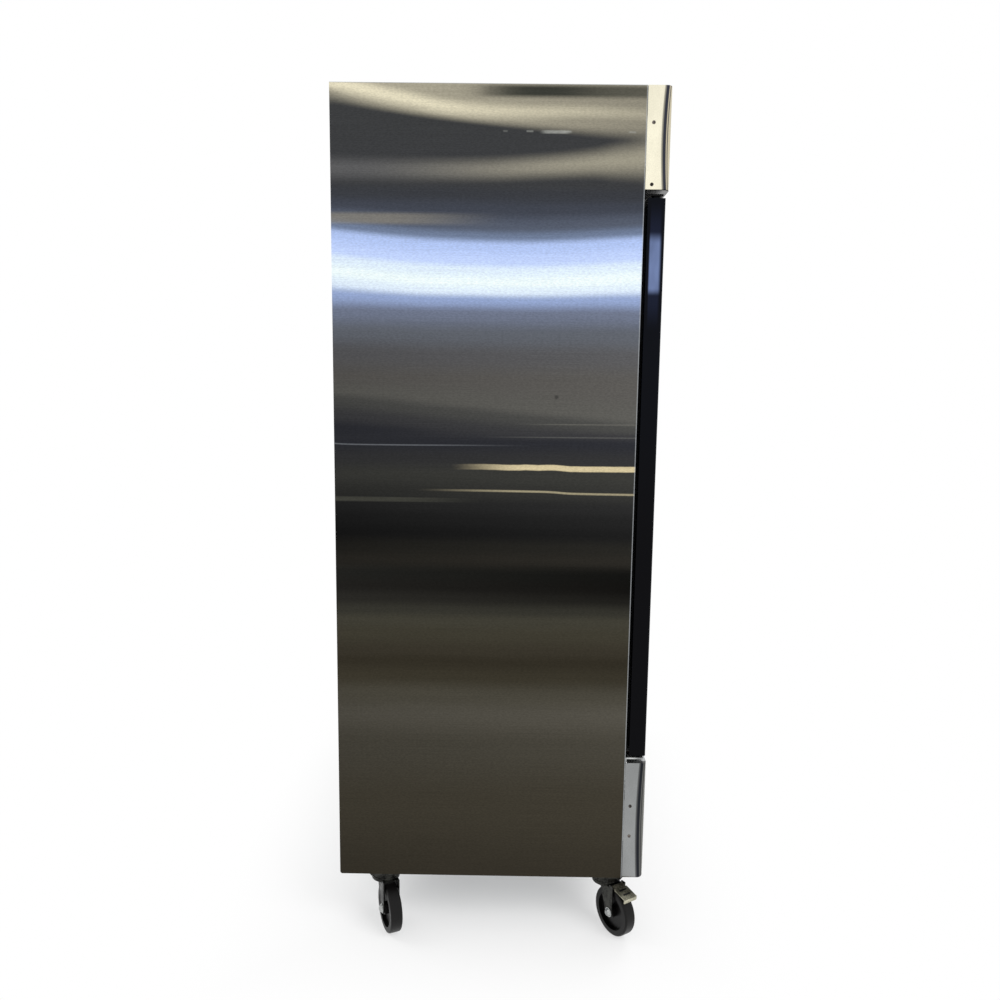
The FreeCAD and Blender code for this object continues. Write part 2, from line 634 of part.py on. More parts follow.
def door_gasket():
    """Four mitre-free magnetic gasket strips on the back of the door frame."""
    inset = PIVOT_INSET + GASKET_PAST_PIVOT
    x0, x1 = DOOR_OUT + inset, DOOR_FREE - FREE_EDGE_GASKET_INSET
    z0, z1 = DOOR_BOTTOM + inset, DOOR_TOP - inset
    y0, y1 = DOOR_REAR, FRONT - GASKET_CLEARANCE
    w = GASKET_WIDTH
    upright = [box(x0, x0 + w, y0, y1, z0, z1), box(x1 - w, x1, y0, y1, z0, z1)]
    level = [box(x0 + w, x1 - w, y0, y1, z0, z0 + w), box(x0 + w, x1 - w, y0, y1, z1 - w, z1)]
    return upright + level


# ---------------------------------------------------------------- shelves and light
def shelf_heights():
    return [FLOOR + FIRST_SHELF + i * SHELF_PITCH for i in range(SHELF_LEVELS)]


def shelf_limits():
    """x and y limits of the left-hand shelf's rods."""
    x0 = -LINER_X + STANDARD_DEPTH + SHELF_SIDE_GAP
    x1 = -SHELF_MIDDLE_GAP
    y0 = BEAM_BACK + STANDARD_DEPTH + SHELF_SIDE_GAP + SHELF_FRONT_PLAY
    y1 = LINER_BACK - STANDARD_DEPTH - SHELF_SIDE_GAP - SHELF_BACK_PLAY
    return x0, x1, y0, y1


def drawn_wire(radius, length, start, axis):
    """Round wire, its seam turned clear of the welds above, below and beside it."""
    wire = rod(radius, length, start, axis)
    wire.rotate(start, axis, WIRE_SEAM)
    return wire


def wire_shelf(z):
    """Welded wire shelf: a rod frame, cross rods, and wires that run front to back."""
    x0, x1, y0, y1 = shelf_limits()
    r = SHELF_FRAME_RADIUS
    rods = [drawn_wire(r, y1 - y0, V(x, y0, z), ALONG_Y) for x in (x0 + r, x1 - r)]
    rods += [drawn_wire(r, x1 - x0 - 2 * r, V(x0 + r, y, z), ALONG_X)
             for y in (y0 + SHELF_END, (y0 + y1) / 2, y1 - SHELF_END)]
    lift = r + SHELF_WIRE_RADIUS - WIRE_SINK
    step = (x1 - x0 - 2 * r) / (SHELF_WIRES + 1)
    wires = [drawn_wire(SHELF_WIRE_RADIUS, y1 - y0 - SHELF_END,
                        V(x0 + r + step * (i + 1), y0 + SHELF_END / 2, z + lift), ALONG_Y)
             for i in range(SHELF_WIRES)]
    return rods[0].multiFuse(rods[1:] + wires)


def left_shelves():
    first = wire_shelf(0)
    return [first.translated(V(0, 0, z)) for z in shelf_heights()]


def channel(x0, x1, y0, y1, z0, z1, open_side):
    """Slotted wall standard: a channel whose open side faces the wall named by the letter and sign."""
    w = STANDARD_WALL
    cuts = {"-x": (x0, x1 - w, y0 + w, y1 - w), "-y": (x0 + w, x1 - w, y0, y1 - w),
            "+y": (x0 + w, x1 - w, y0 + w, y1)}[open_side]
    return box(x0, x1, y0, y1, z0, z1).cut(box(*cuts, z0, z1))


def shelf_standards():
    z0, z1 = FLOOR + STANDARD_END, OPEN_HIGH - STANDARD_END
    half = STANDARD_WIDTH / 2
    side = [channel(-LINER_X, -LINER_X + STANDARD_DEPTH, y - half, y + half, z0, z1, "-x")
            for y in SIDE_STANDARD_Y]
    x0, x1 = -MIDDLE_STANDARD_X - half, -MIDDLE_STANDARD_X + half
    front = channel(x0, x1, BEAM_BACK, BEAM_BACK + STANDARD_DEPTH, z0, z1, "-y")
    back = channel(x0, x1, LINER_BACK - STANDARD_DEPTH, LINER_BACK, z0, z1, "+y")
    return both(side + [front, back])


def shelf_clips():
    """Four clips under each shelf, hooked on the standards."""
    half = CLIP_WIDTH / 2
    wall_x = -LINER_X + STANDARD_DEPTH
    front_y = BEAM_BACK + STANDARD_DEPTH
    back_y = LINER_BACK - STANDARD_DEPTH
    clips = []
    for z in shelf_heights():
        z1 = z - SHELF_FRAME_RADIUS
        z0 = z1 - CLIP_THICKNESS
        clips += [box(wall_x, wall_x + CLIP_REACH, y - half, y + half, z0, z1) for y in SIDE_STANDARD_Y]
        x0, x1 = -MIDDLE_STANDARD_X - half, -MIDDLE_STANDARD_X + half
        clips.append(box(x0, x1, front_y, front_y + CLIP_REACH, z0, z1))
        clips.append(box(x0, x1, back_y - CLIP_REACH, back_y, z0, z1))
    return both(clips)


def led_light_bars():
    y0 = BEAM_BACK - LIGHT_BAR_DEPTH - LIGHT_BAR_SETBACK
    bar = box(-MULLION - LIGHT_BAR_WIDTH, -MULLION, y0, y0 + LIGHT_BAR_DEPTH,
              OPEN_LOW + LIGHT_BAR_MARGIN, OPEN_HIGH - LIGHT_BAR_MARGIN)
    face = edges_along(bar, UP, lambda p: p.x < -MULLION - LIGHT_BAR_WIDTH + NEAR)
    return both([bar.makeFillet(LIGHT_BAR_WIDTH / 3, face)])


# ---------------------------------------------------------------- evaporator
EVAP_LOW = 55.0              # cover's lower face, above the door opening
COVER_DEPTH = 275.0
COVER_SIDE_GAP = 70.0
COVER_FRONT_Y = LINER_BACK - COVER_DEPTH
COVER_HALF = LINER_X - COVER_SIDE_GAP
INTAKE_WIDTH = 60.0
INTAKE_DEPTH = 120.0
INTAKE_FROM_FRONT = 40.0
INTAKE_PITCH = 90.0
INTAKES = 11
EVAP_FAN_X = 250.0
EVAP_FAN_RADIUS = 72.0
EVAP_HOLE_RADIUS = 80.0
FAN_HUB_RADIUS = 18.0
FAN_DEPTH = 22.0
SHAFT_RADIUS = 4.0
MOTOR_RADIUS = 28.0
MOTOR_LENGTH = 46.0
GUARD_WIRE = 1.5
GUARD_RINGS = (22.0, 42.0, 62.0, 84.0)
COIL_DEPTH = 120.0
COIL_SIDE_GAP = 90.0
COIL_HALF = COVER_HALF - COIL_SIDE_GAP
FIN_PITCH = 20.0
FIN_GAP = 12.0
FIN_START = 14.0             # first air gap, in from the end of the core
FIN_MARGIN = 5.0             # solid band above and below the air gaps
FIN_BACK_SHARE = 0.2         # solid back of the core, as a share of its depth
COIL_BACK_GAP = 8.0
COIL_ABOVE_COVER = 25.0
END_PLATE = 3.0
END_PLATE_LAP = 5.0
FAN_BLADES = 5
BLADE_WIDTH = 30.0
BLADE_SHEET = 2.0
BLADE_ROOT = 3.0             # inside the hub
BLADE_TIP_GAP = 4.0
BLADE_PITCH = 28.0           # degrees
FAN_SETBACK = 12.0           # fan behind the cover's face
FAN_MOTOR_GAP = 3.0
SHAFT_SHY = 2.0              # shaft end, inside the fan's front face
SHAFT_ROOT = 5.0
MOTOR_ROUND = 4.0
MAST_ROOT = 6.0
MAST_WIDTH = 30.0
MAST_BACK = 18.0             # strap behind the motor's front
MAST_SHEET = 4.0
MAST_FOOT = 30.0
MAST_FOOT_SHEET = 3.0


def evap_low():
    return OPEN_HIGH + EVAP_LOW


def evap_fan_center():
    return (evap_low() + CEILING) / 2


def finned_block(x0, x1, y0, y1, z0, z1):
    """Heat-exchanger core: a block with air gaps cut between its fins from the front."""
    gaps = []
    back = y1 - (y1 - y0) * FIN_BACK_SHARE
    count = int((x1 - x0 - FIN_PITCH) // FIN_PITCH)
    for i in range(count):
        x = x0 + FIN_START + FIN_PITCH * i
        gaps.append(box(x, x + FIN_GAP, y0 - PAST, back, z0 + FIN_MARGIN, z1 - FIN_MARGIN))
    return box(x0, x1, y0, y1, z0, z1).cut(Part.makeCompound(gaps))


def evaporator_coil():
    y0, y1 = LINER_BACK - COIL_BACK_GAP - COIL_DEPTH, LINER_BACK - COIL_BACK_GAP
    z0, z1 = evap_low() + COIL_ABOVE_COVER, CEILING
    core = finned_block(-COIL_HALF, COIL_HALF, y0, y1, z0, z1)
    lap = END_PLATE_LAP
    plate = box(-COIL_HALF - END_PLATE, -COIL_HALF, y0 - lap, y1 + lap, z0 - lap, z1)
    return [core] + both([plate])


def fan_guard(x, z):
    """Flat-wire guard on the face of a fan opening: rings crossed by two bars."""
    w = GUARD_WIRE
    rings = []
    for r in GUARD_RINGS:
        disc = rod(r + w, w, V(x, COVER_FRONT_Y - w, z), ALONG_Y)
        rings.append(disc.cut(rod(r - w, 3 * w, V(x, COVER_FRONT_Y - 2 * w, z), ALONG_Y)))
    reach = GUARD_RINGS[-1]
    bars = [box(x - reach, x + reach, COVER_FRONT_Y - w, COVER_FRONT_Y, z - w, z + w),
            box(x - w, x + w, COVER_FRONT_Y - w, COVER_FRONT_Y, z - reach, z + reach)]
    return fused(bars + rings)


def evaporator_cover():
    z0, z1 = evap_low(), CEILING
    y0, y1 = COVER_FRONT_Y, LINER_BACK
    outer = box(-COVER_HALF, COVER_HALF, y0, y1, z0, z1)
    inner = box(-COVER_HALF + SHEET, COVER_HALF - SHEET, y0 + SHEET, y1 + PAST, z0 + SHEET, z1 + PAST)
    z = evap_fan_center()
    holes = [rod(EVAP_HOLE_RADIUS, SHEET + 2 * PAST, V(s * EVAP_FAN_X, y0 - PAST, z), ALONG_Y)
             for s in (-1, 1)]
    near = y0 + INTAKE_FROM_FRONT
    intakes = []
    for i in range(INTAKES):
        x = (i - (INTAKES - 1) / 2) * INTAKE_PITCH - INTAKE_WIDTH / 2
        intakes.append(box(x, x + INTAKE_WIDTH, near, near + INTAKE_DEPTH, z0 - PAST, z0 + SHEET + PAST))
    cover = outer.cut(inner).cut(Part.makeCompound(holes + intakes))
    return [cover] + both([fan_guard(-EVAP_FAN_X, z)])


def fan(radius, y0, x, z, depth):
    """Axial fan: a bored hub with pitched blades, axis along Y."""
    hub = rod(FAN_HUB_RADIUS, depth, V(x, y0, z), ALONG_Y)
    parts = [hub]
    for i in range(FAN_BLADES):
        blade = box(-BLADE_WIDTH / 2, BLADE_WIDTH / 2, -BLADE_SHEET / 2, BLADE_SHEET / 2,
                    FAN_HUB_RADIUS - BLADE_ROOT, radius - BLADE_TIP_GAP)
        blade.rotate(V(0, 0, 0), UP, BLADE_PITCH)
        blade.translate(V(x, y0 + depth / 2, z))
        blade.rotate(V(x, 0, z), ALONG_Y, i * 360.0 / FAN_BLADES)
        parts.append(blade)
    bore = rod(SHAFT_RADIUS + RUN_CLEARANCE, depth + 2 * PAST, V(x, y0 - PAST, z), ALONG_Y)
    return hub.multiFuse(parts[1:]).cut(bore)


def fan_motor(y0, x, z, shaft_front, mast_to, mast_sign):
    """Round motor with a shaft towards the front, on a strap up or down to its support."""
    body = rod(MOTOR_RADIUS, MOTOR_LENGTH, V(x, y0, z), ALONG_Y)
    body = body.makeFillet(MOTOR_ROUND, rims(body))
    shaft = rod(SHAFT_RADIUS, y0 - shaft_front + SHAFT_ROOT, V(x, shaft_front, z), ALONG_Y)
    near = z + mast_sign * (MOTOR_RADIUS - MAST_ROOT)
    inner = mast_to - mast_sign * MAST_FOOT_SHEET
    half, y = MAST_WIDTH / 2, y0 + MAST_BACK
    mast = box(x - half, x + half, y, y + MAST_SHEET, min(near, mast_to), max(near, mast_to))
    foot = box(x - half, x + half, y, y + MAST_FOOT, min(mast_to, inner), max(mast_to, inner))
    return fused([body, shaft, mast, foot])


EVAP_FAN_Y = COVER_FRONT_Y + FAN_SETBACK
EVAP_MOTOR_Y = EVAP_FAN_Y + FAN_DEPTH + FAN_MOTOR_GAP


def evaporator_fan():
    return fan(EVAP_FAN_RADIUS, EVAP_FAN_Y, -EVAP_FAN_X, evap_fan_center(), FAN_DEPTH)


def evaporator_fan_motors():
    z = evap_fan_center()
    return both([fan_motor(EVAP_MOTOR_Y, -EVAP_FAN_X, z, EVAP_FAN_Y + SHAFT_SHY, CEILING, 1)])


# ---------------------------------------------------------------- condensing unit
CONDENSER_SIDE_GAP = 130.0
CONDENSER_WIDTH = 400.0
CONDENSER_X = (-HALF + CONDENSER_SIDE_GAP, -HALF + CONDENSER_SIDE_GAP + CONDENSER_WIDTH)
CONDENSER_INSET = 50.0       # behind the side panel's front edge
CONDENSER_DEPTH = 50.0
CONDENSER_Y = (FRONT + CONDENSER_INSET, FRONT + CONDENSER_INSET + CONDENSER_DEPTH)
CONDENSER_TOP_GAP = 20.0
SHROUD_DEPTH = 20.0
SHROUD_SHEET = 2.0
COND_FAN_RADIUS = 98.0
COND_HOLE_RADIUS = 106.0
COND_FAN_GAP = 4.0           # shroud to fan
COMPRESSOR_SIDE_INSET = 330.0
COMPRESSOR_X = -HALF + COMPRESSOR_SIDE_INSET
COMPRESSOR_INSET = 275.0     # axis, ahead of the cabinet's back
COMPRESSOR_Y = BACK - COMPRESSOR_INSET
COMPRESSOR_FOOT = (220.0, 150.0)
GROMMET_SPACING = (190.0, 120.0)
GROMMET_RADIUS = 11.0
COMPRESSOR_RADIUS = 92.0
COMPRESSOR_HEIGHT = 165.0
FOOT_HEIGHT = 8.0
FOOT_PLATE = 4.0
SHELL_ROUND = 40.0
TERMINAL_SINK = 12.0
TERMINAL_REACH = 22.0
TERMINAL_WIDTH = 50.0
TERMINAL_HEIGHTS = (50.0, 110.0)     # above the foot plate's lower face
TUBE_RADIUS = 4.0
SUCTION_RADIUS = 6.0
TUBE_BEND = 22.0
TUBE_RUN = 50.0
STUB_LENGTH = 8.0
STUB_WALL = 2.0
HOT_STUB_Y = -20.0
HOT_STUB_HEIGHT = 64.0       # above the foot plate's lower face
COLD_STUB_HEIGHT = 94.0
LIQUID_HEIGHT = 40.0
RISER_INSET = 30.0           # ahead of the liner's back
DRIER_RADIUS = 13.0
DRIER_LENGTH = 110.0
DRIER_Y = COMPRESSOR_Y - 60.0
PAN_SIDE_GAP = 310.0
PAN_WIDTH = 320.0
PAN_X = (HALF - PAN_SIDE_GAP - PAN_WIDTH, HALF - PAN_SIDE_GAP)
PAN_INSET = 135.0            # ahead of the cabinet's back
PAN_DEPTH = 280.0
PAN_Y = (BACK - PAN_INSET - PAN_DEPTH, BACK - PAN_INSET)
PAN_HEIGHT = 40.0
PAN_WALL = 2.0


def tray_top():
    return RAIL_TOP + TRAY_SHEET


def unit_tray():
    y0 = FRONT + BASE_SETBACK + RAIL
    return [box(-RAIL_OUT, RAIL_OUT, y0, BACK_FOAM - RAIL, RAIL_TOP, tray_top())]


def condenser_coil():
    z1 = DECK - CONDENSER_TOP_GAP
    return [finned_block(*CONDENSER_X, *CONDENSER_Y, tray_top(), z1)]


def cond_fan_center():
    return (CONDENSER_X[0] + CONDENSER_X[1]) / 2, (tray_top() + DECK - CONDENSER_TOP_GAP) / 2


def fan_shroud():
    x, z = cond_fan_center()
    y0 = CONDENSER_Y[1]
    top = DECK - CONDENSER_TOP_GAP
    w = SHROUD_SHEET
    outer = box(*CONDENSER_X, y0, y0 + SHROUD_DEPTH, tray_top(), top)
    inner = box(CONDENSER_X[0] + w, CONDENSER_X[1] - w, y0, y0 + SHROUD_DEPTH - w, tray_top() + w, top - w)
    hole = rod(COND_HOLE_RADIUS, SHROUD_DEPTH + 2 * PAST, V(x, y0 - PAST, z), ALONG_Y)
    return [outer.cut(inner).cut(hole)]


def cond_fan_y():
    return CONDENSER_Y[1] + SHROUD_DEPTH + COND_FAN_GAP


def condenser_fan():
    x, z = cond_fan_center()
    return fan(COND_FAN_RADIUS, cond_fan_y(), x, z, FAN_DEPTH)


def condenser_fan_motor():
    x, z = cond_fan_center()
    motor_y = cond_fan_y() + FAN_DEPTH + FAN_MOTOR_GAP
    return [fan_motor(motor_y, x, z, cond_fan_y() + SHAFT_SHY, tray_top(), -1)]


def hot_height():
    return tray_top() + FOOT_HEIGHT + HOT_STUB_HEIGHT


def cold_height():
    return tray_top() + FOOT_HEIGHT + COLD_STUB_HEIGHT


def compressor():
    """Hermetic shell with two tube stubs, on a foot plate with four rubber grommets."""
    z0 = tray_top() + FOOT_HEIGHT
    x, y = COMPRESSOR_X, COMPRESSOR_Y
    foot_x, foot_y = COMPRESSOR_FOOT[0] / 2, COMPRESSOR_FOOT[1] / 2
    plate = box(x - foot_x, x + foot_x, y - foot_y, y + foot_y, z0, z0 + FOOT_PLATE)
    shell = rod(COMPRESSOR_RADIUS, COMPRESSOR_HEIGHT, V(x, y, z0 + FOOT_PLATE), UP)
    upper = [e for e in rims(shell) if e.CenterOfMass.z > z0 + COMPRESSOR_HEIGHT / 2]
    shell = shell.makeFillet(SHELL_ROUND, upper)
    terminal = box(x + COMPRESSOR_RADIUS - TERMINAL_SINK, x + COMPRESSOR_RADIUS + TERMINAL_REACH,
                   y - TERMINAL_WIDTH / 2, y + TERMINAL_WIDTH / 2,
                   z0 + TERMINAL_HEIGHTS[0], z0 + TERMINAL_HEIGHTS[1])
    spots = corners_of(x, y, GROMMET_SPACING[0], GROMMET_SPACING[1], tray_top())
    grommets = [rod(GROMMET_RADIUS, FOOT_HEIGHT, spot, UP) for spot in spots]
    reach = COMPRESSOR_RADIUS + STUB_LENGTH
    hot_stub = rod(TUBE_RADIUS + STUB_WALL, reach, V(x - reach, y + HOT_STUB_Y, hot_height()), ALONG_X)
    cold_stub = rod(SUCTION_RADIUS + STUB_WALL, reach, V(x, y, cold_height()), ALONG_Y)
    return [fused([plate, shell, terminal, hot_stub, cold_stub])] + grommets


def pipe(points, radius, bend):
    """Round tube along straight runs joined by tangent arcs."""
    edges = []
    start = points[0]
    for before, corner, after in zip(points, points[1:], points[2:]):
        a = (before - corner).normalize()
        b = (after - corner).normalize()
        half = math.acos(max(-1, min(1, a.dot(b)))) / 2
        cut = bend / math.tan(half)
        middle = (a + b).normalize() * (bend / math.sin(half) - bend)
        p, m, q = corner + a * cut, corner + middle, corner + b * cut
        edges += [Part.LineSegment(start, p).toShape(), Part.Arc(p, m, q).toShape()]
        start = q
    edges.append(Part.LineSegment(start, points[-1]).toShape())
    wire = Part.Wire(edges)
    first = points[1] - points[0]
    section = Part.Wire(Part.makeCircle(radius, points[0], first))
    return wire.makePipeShell([section], True, False)


def refrigerant_lines():
    """Discharge line to the condenser, liquid line with its filter drier, riser, and suction line."""
    cx, cy = COMPRESSOR_X, COMPRESSOR_Y
    reach = COMPRESSOR_RADIUS + STUB_LENGTH
    x_hot = cx - reach - TUBE_RUN
    y_hot = cy + HOT_STUB_Y
    discharge = pipe([V(cx - reach, y_hot, hot_height()), V(x_hot, y_hot, hot_height()),
                      V(x_hot, CONDENSER_Y[1] + SHROUD_DEPTH, hot_height())], TUBE_RADIUS, TUBE_BEND)
    x_liquid = CONDENSER_X[1] + TUBE_RUN
    y_coil = (CONDENSER_Y[0] + CONDENSER_Y[1]) / 2
    z_liquid = tray_top() + LIQUID_HEIGHT
    liquid = pipe([V(CONDENSER_X[1], y_coil, z_liquid), V(x_liquid, y_coil, z_liquid),
                   V(x_liquid, DRIER_Y, z_liquid)], TUBE_RADIUS, TUBE_BEND)
    drier = rod(DRIER_RADIUS, DRIER_LENGTH, V(x_liquid, DRIER_Y, z_liquid), ALONG_Y)
    riser_y = LINER_BACK - RISER_INSET
    riser = pipe([V(x_liquid, DRIER_Y + DRIER_LENGTH, z_liquid), V(x_liquid, riser_y, z_liquid),
                  V(x_liquid, riser_y, DECK)], TUBE_RADIUS, TUBE_BEND)
    y_cold = cy + reach + TUBE_RUN
    suction = pipe([V(cx, cy + reach, cold_height()), V(cx, y_cold, cold_height()), V(cx, y_cold, DECK)],
                   SUCTION_RADIUS, TUBE_BEND)
    return [discharge, liquid, drier, riser, suction]


def condensate_pan():
    z0 = tray_top()
    outer = box(*PAN_X, *PAN_Y, z0, z0 + PAN_HEIGHT)
    inner = box(PAN_X[0] + PAN_WALL, PAN_X[1] - PAN_WALL, PAN_Y[0] + PAN_WALL, PAN_Y[1] - PAN_WALL,
                z0 + PAN_WALL, z0 + PAN_HEIGHT + PAST)
    return [outer.cut(inner)]


GLAND_RADIUS = 11.0
GLAND_SIDE_INSET = 170.0
GLAND_ABOVE_BASE = 120.0
GLAND_AT = (HALF - GLAND_SIDE_INSET, GLAND_ABOVE_BASE)
GLAND_WALL = 4.0
GLAND_BORE = 15.0
JUNCTION_BOX = (140.0, 90.0, 150.0)
JUNCTION_BOX_GAP = 2.0       # behind it, to the base frame
LOUVRE_COLUMNS = (-500.0, -250.0, 0.0, 250.0)
LOUVRE_ROWS = 10
LOUVRE_LENGTH = 180.0
LOUVRE_HEIGHT = 8.0
LOUVRE_PITCH = 22.0
LOUVRES_ABOVE_BASE = 60.0


def electrical_box():
    """Junction box behind the back grille, with the strain-relief gland of the supply lead."""
    x, z = GLAND_AT[0], BASE + GLAND_AT[1]
    y1 = BACK_FOAM - RAIL - JUNCTION_BOX_GAP
    width, depth, height = JUNCTION_BOX
    case = box(x - width / 2, x + width / 2, y1 - depth, y1, tray_top(), tray_top() + height)
    gland = rod(GLAND_RADIUS, BACK - y1, V(x, y1, z), ALONG_Y)
    bore = rod(GLAND_RADIUS - GLAND_WALL, GLAND_BORE + PAST, V(x, BACK - GLAND_BORE, z), ALONG_Y)
    return [case, gland.cut(bore)]


def rear_grille():
    """Louvred sheet over the back of the machine space."""
    inset = SHEET + PANEL_PLAY
    x, z = GLAND_AT[0], BASE + GLAND_AT[1]
    sheet = box(-HALF + inset, HALF - inset, BACK_FOAM, SKIN_BACK, BASE + PANEL_CORNER, DECK - SEAM)
    y0, y1 = BACK_FOAM - PAST, SKIN_BACK + PAST
    louvres = []
    for middle in LOUVRE_COLUMNS:
        for row in range(LOUVRE_ROWS):
            low = BASE + LOUVRES_ABOVE_BASE + row * LOUVRE_PITCH
            x0, x1 = middle - LOUVRE_LENGTH / 2, middle + LOUVRE_LENGTH / 2
            louvres.append(box(x0, x1, y0, y1, low, low + LOUVRE_HEIGHT))
    hole = rod(GLAND_RADIUS + RUN_CLEARANCE, y1 - y0, V(x, y0, z), ALONG_Y)
    return [sheet.cut(Part.makeCompound(louvres + [hole]))]


# ---------------------------------------------------------------- controls
def button_pockets():
    _, z = panel_center()
    front = GRILLE_FRONT - PANEL_PROUD
    r = BUTTON_RADIUS + BUTTON_CLEARANCE
    return [rod(r, BUTTON_POCKET, V(x, front - PAST, z), ALONG_Y) for x in BUTTON_X]


def rocker_axis_y():
    return GRILLE_FRONT - PANEL_PROUD - ROCKER_PROUD + ROCKER_RADIUS


def control_panel():
    """Thermostat body with a bezel; pockets hold its two buttons and the light rocker."""
    x, z = panel_center()
    front = GRILLE_FRONT - PANEL_PROUD
    half_x, half_z = PANEL_WIDTH / 2, PANEL_HEIGHT / 2
    bezel = box(x - half_x, x + half_x, front, GRILLE_FRONT, z - half_z, z + half_z)
    half_x -= CUTOUT_MARGIN + PANEL_FIT
    half_z -= CUTOUT_MARGIN / 2 + PANEL_FIT
    body = box(x - half_x, x + half_x, front, GRILLE_FRONT + PANEL_BODY_DEPTH, z - half_z, z + half_z)
    c = BUTTON_CLEARANCE
    r = ROCKER_RADIUS + c
    rocker_pocket = box(ROCKER_X - ROCKER_WIDTH / 2 - c, ROCKER_X + ROCKER_WIDTH / 2 + c, front - PAST,
                        rocker_axis_y() + r, z - r, z + r)
    return [fused([bezel, body]).cut(Part.makeCompound(button_pockets() + [rocker_pocket]))]


def button(x):
    _, z = panel_center()
    front = GRILLE_FRONT - PANEL_PROUD - BUTTON_PROUD
    cap = rod(BUTTON_RADIUS, BUTTON_LENGTH, V(x, front, z), ALONG_Y)
    return [cap.makeFillet(BUTTON_ROUND, [e for e in rims(cap) if e.CenterOfMass.y < front + NEAR])]


def light_rocker():
    """See-saw switch cap: a barrel on the pivot axis with two flat faces that meet in a shallow V."""
    _, z = panel_center()
    y = rocker_axis_y()
    barrel = rod(ROCKER_RADIUS, ROCKER_WIDTH, V(ROCKER_X - ROCKER_WIDTH / 2, y, z), ALONG_X)
    face = y - ROCKER_RADIUS + ROCKER_CUT_DEPTH
    cuts = []
    for side in (-1, 1):
        far = z + side * 3 * ROCKER_RADIUS
        cut = box(ROCKER_X - ROCKER_WIDTH, ROCKER_X + ROCKER_WIDTH, y - 3 * ROCKER_RADIUS, face,
                  min(z, far), max(z, far))
        cut.rotate(V(ROCKER_X, face, z), ALONG_X, side * ROCKER_CUT)
        cuts.append(cut)
    return [barrel.cut(Part.makeCompound(cuts))]


# ---------------------------------------------------------------- casters
def place_caster(shape, y, swivel):
    """Turns a caster piece from its own frame (trail along +X) to the left side, at that depth."""
    placed = shape.copy()
    placed.rotate(V(0, 0, 0), UP, 180 + swivel)
    placed.translate(V(-HALF + CASTER_INSET, y, 0))
    return placed


def caster_mount(y):
    """Bolted plate with the fixed upper race, and its four bolts."""
    x = -HALF + CASTER_INSET
    z1 = CASTER_HEIGHT
    z0 = z1 - MOUNT_PLATE
    plate = box(x - MOUNT_WIDTH / 2, x + MOUNT_WIDTH / 2, y - MOUNT_LENGTH / 2, y + MOUNT_LENGTH / 2, z0, z1)
    plate = plate.makeFillet(MOUNT_CORNER, edges_along(plate, UP, lambda p: True))
    race = rod(RACE_RADIUS, RACE_HEIGHT, V(x, y, z0 - RACE_HEIGHT), UP)
    race = race.makeChamfer(RACE_BEVEL, [e for e in rims(race) if e.CenterOfMass.z < z0 - NEAR])
    bore = rod(KING_PIN_RADIUS + KING_PIN_CLEARANCE, PAST + KING_PIN_RISE + KING_PIN_END_GAP,
               V(x, y, z0 - RACE_HEIGHT - PAST), UP)
    spots = corners_of(x, y, BOLT_SPACING_X, BOLT_SPACING_Y, z0)
    past = V(0, 0, PAST)
    holes = [rod(BOLT_HOLE_RADIUS, MOUNT_PLATE + 2 * PAST, spot - past, UP) for spot in spots]
    body = plate.fuse(race).cut(Part.makeCompound([bore] + holes))
    bolts = []
    height = V(0, 0, BOLT_HEAD_HEIGHT)
    for spot in spots:
        head = outline(hexagon(spot - height, BOLT_HEAD, ALONG_X, ALONG_Y), height)
        bolts.append(fused([head, rod(BOLT_RADIUS, MOUNT_PLATE, spot, UP)]))
    return [body] + bolts


def fork_leg(side):
    """Pressed leg of the fork, from the crown down to the axle boss, with an ear for the pedal's pin."""
    inner = WHEEL_WIDTH / 2 + LEG_GAP
    y = inner if side > 0 else -inner - LEG_THICKNESS
    crown = crown_bottom() + FORK_PLATE / 2
    ear_x, ear_z = PEDAL_PIVOT
    points = [V(0, y, crown), V(ear_x - EAR, y, crown), V(ear_x - EAR, y, ear_z + EAR),
              V(ear_x + EAR, y, ear_z + EAR), V(ear_x + EAR, y, ear_z - EAR),
              V(TRAIL + BOSS_RADIUS, y, WHEEL_RADIUS), V(TRAIL - BOSS_RADIUS, y, WHEEL_RADIUS)]
    leg = outline(points, V(0, LEG_THICKNESS, 0))
    boss = rod(BOSS_RADIUS, LEG_THICKNESS, V(TRAIL, y, WHEEL_RADIUS), ALONG_Y)
    return leg.fuse(boss)


def crown_bottom():
    return CASTER_HEIGHT - MOUNT_PLATE - RACE_HEIGHT - RUN_CLEARANCE - FORK_PLATE


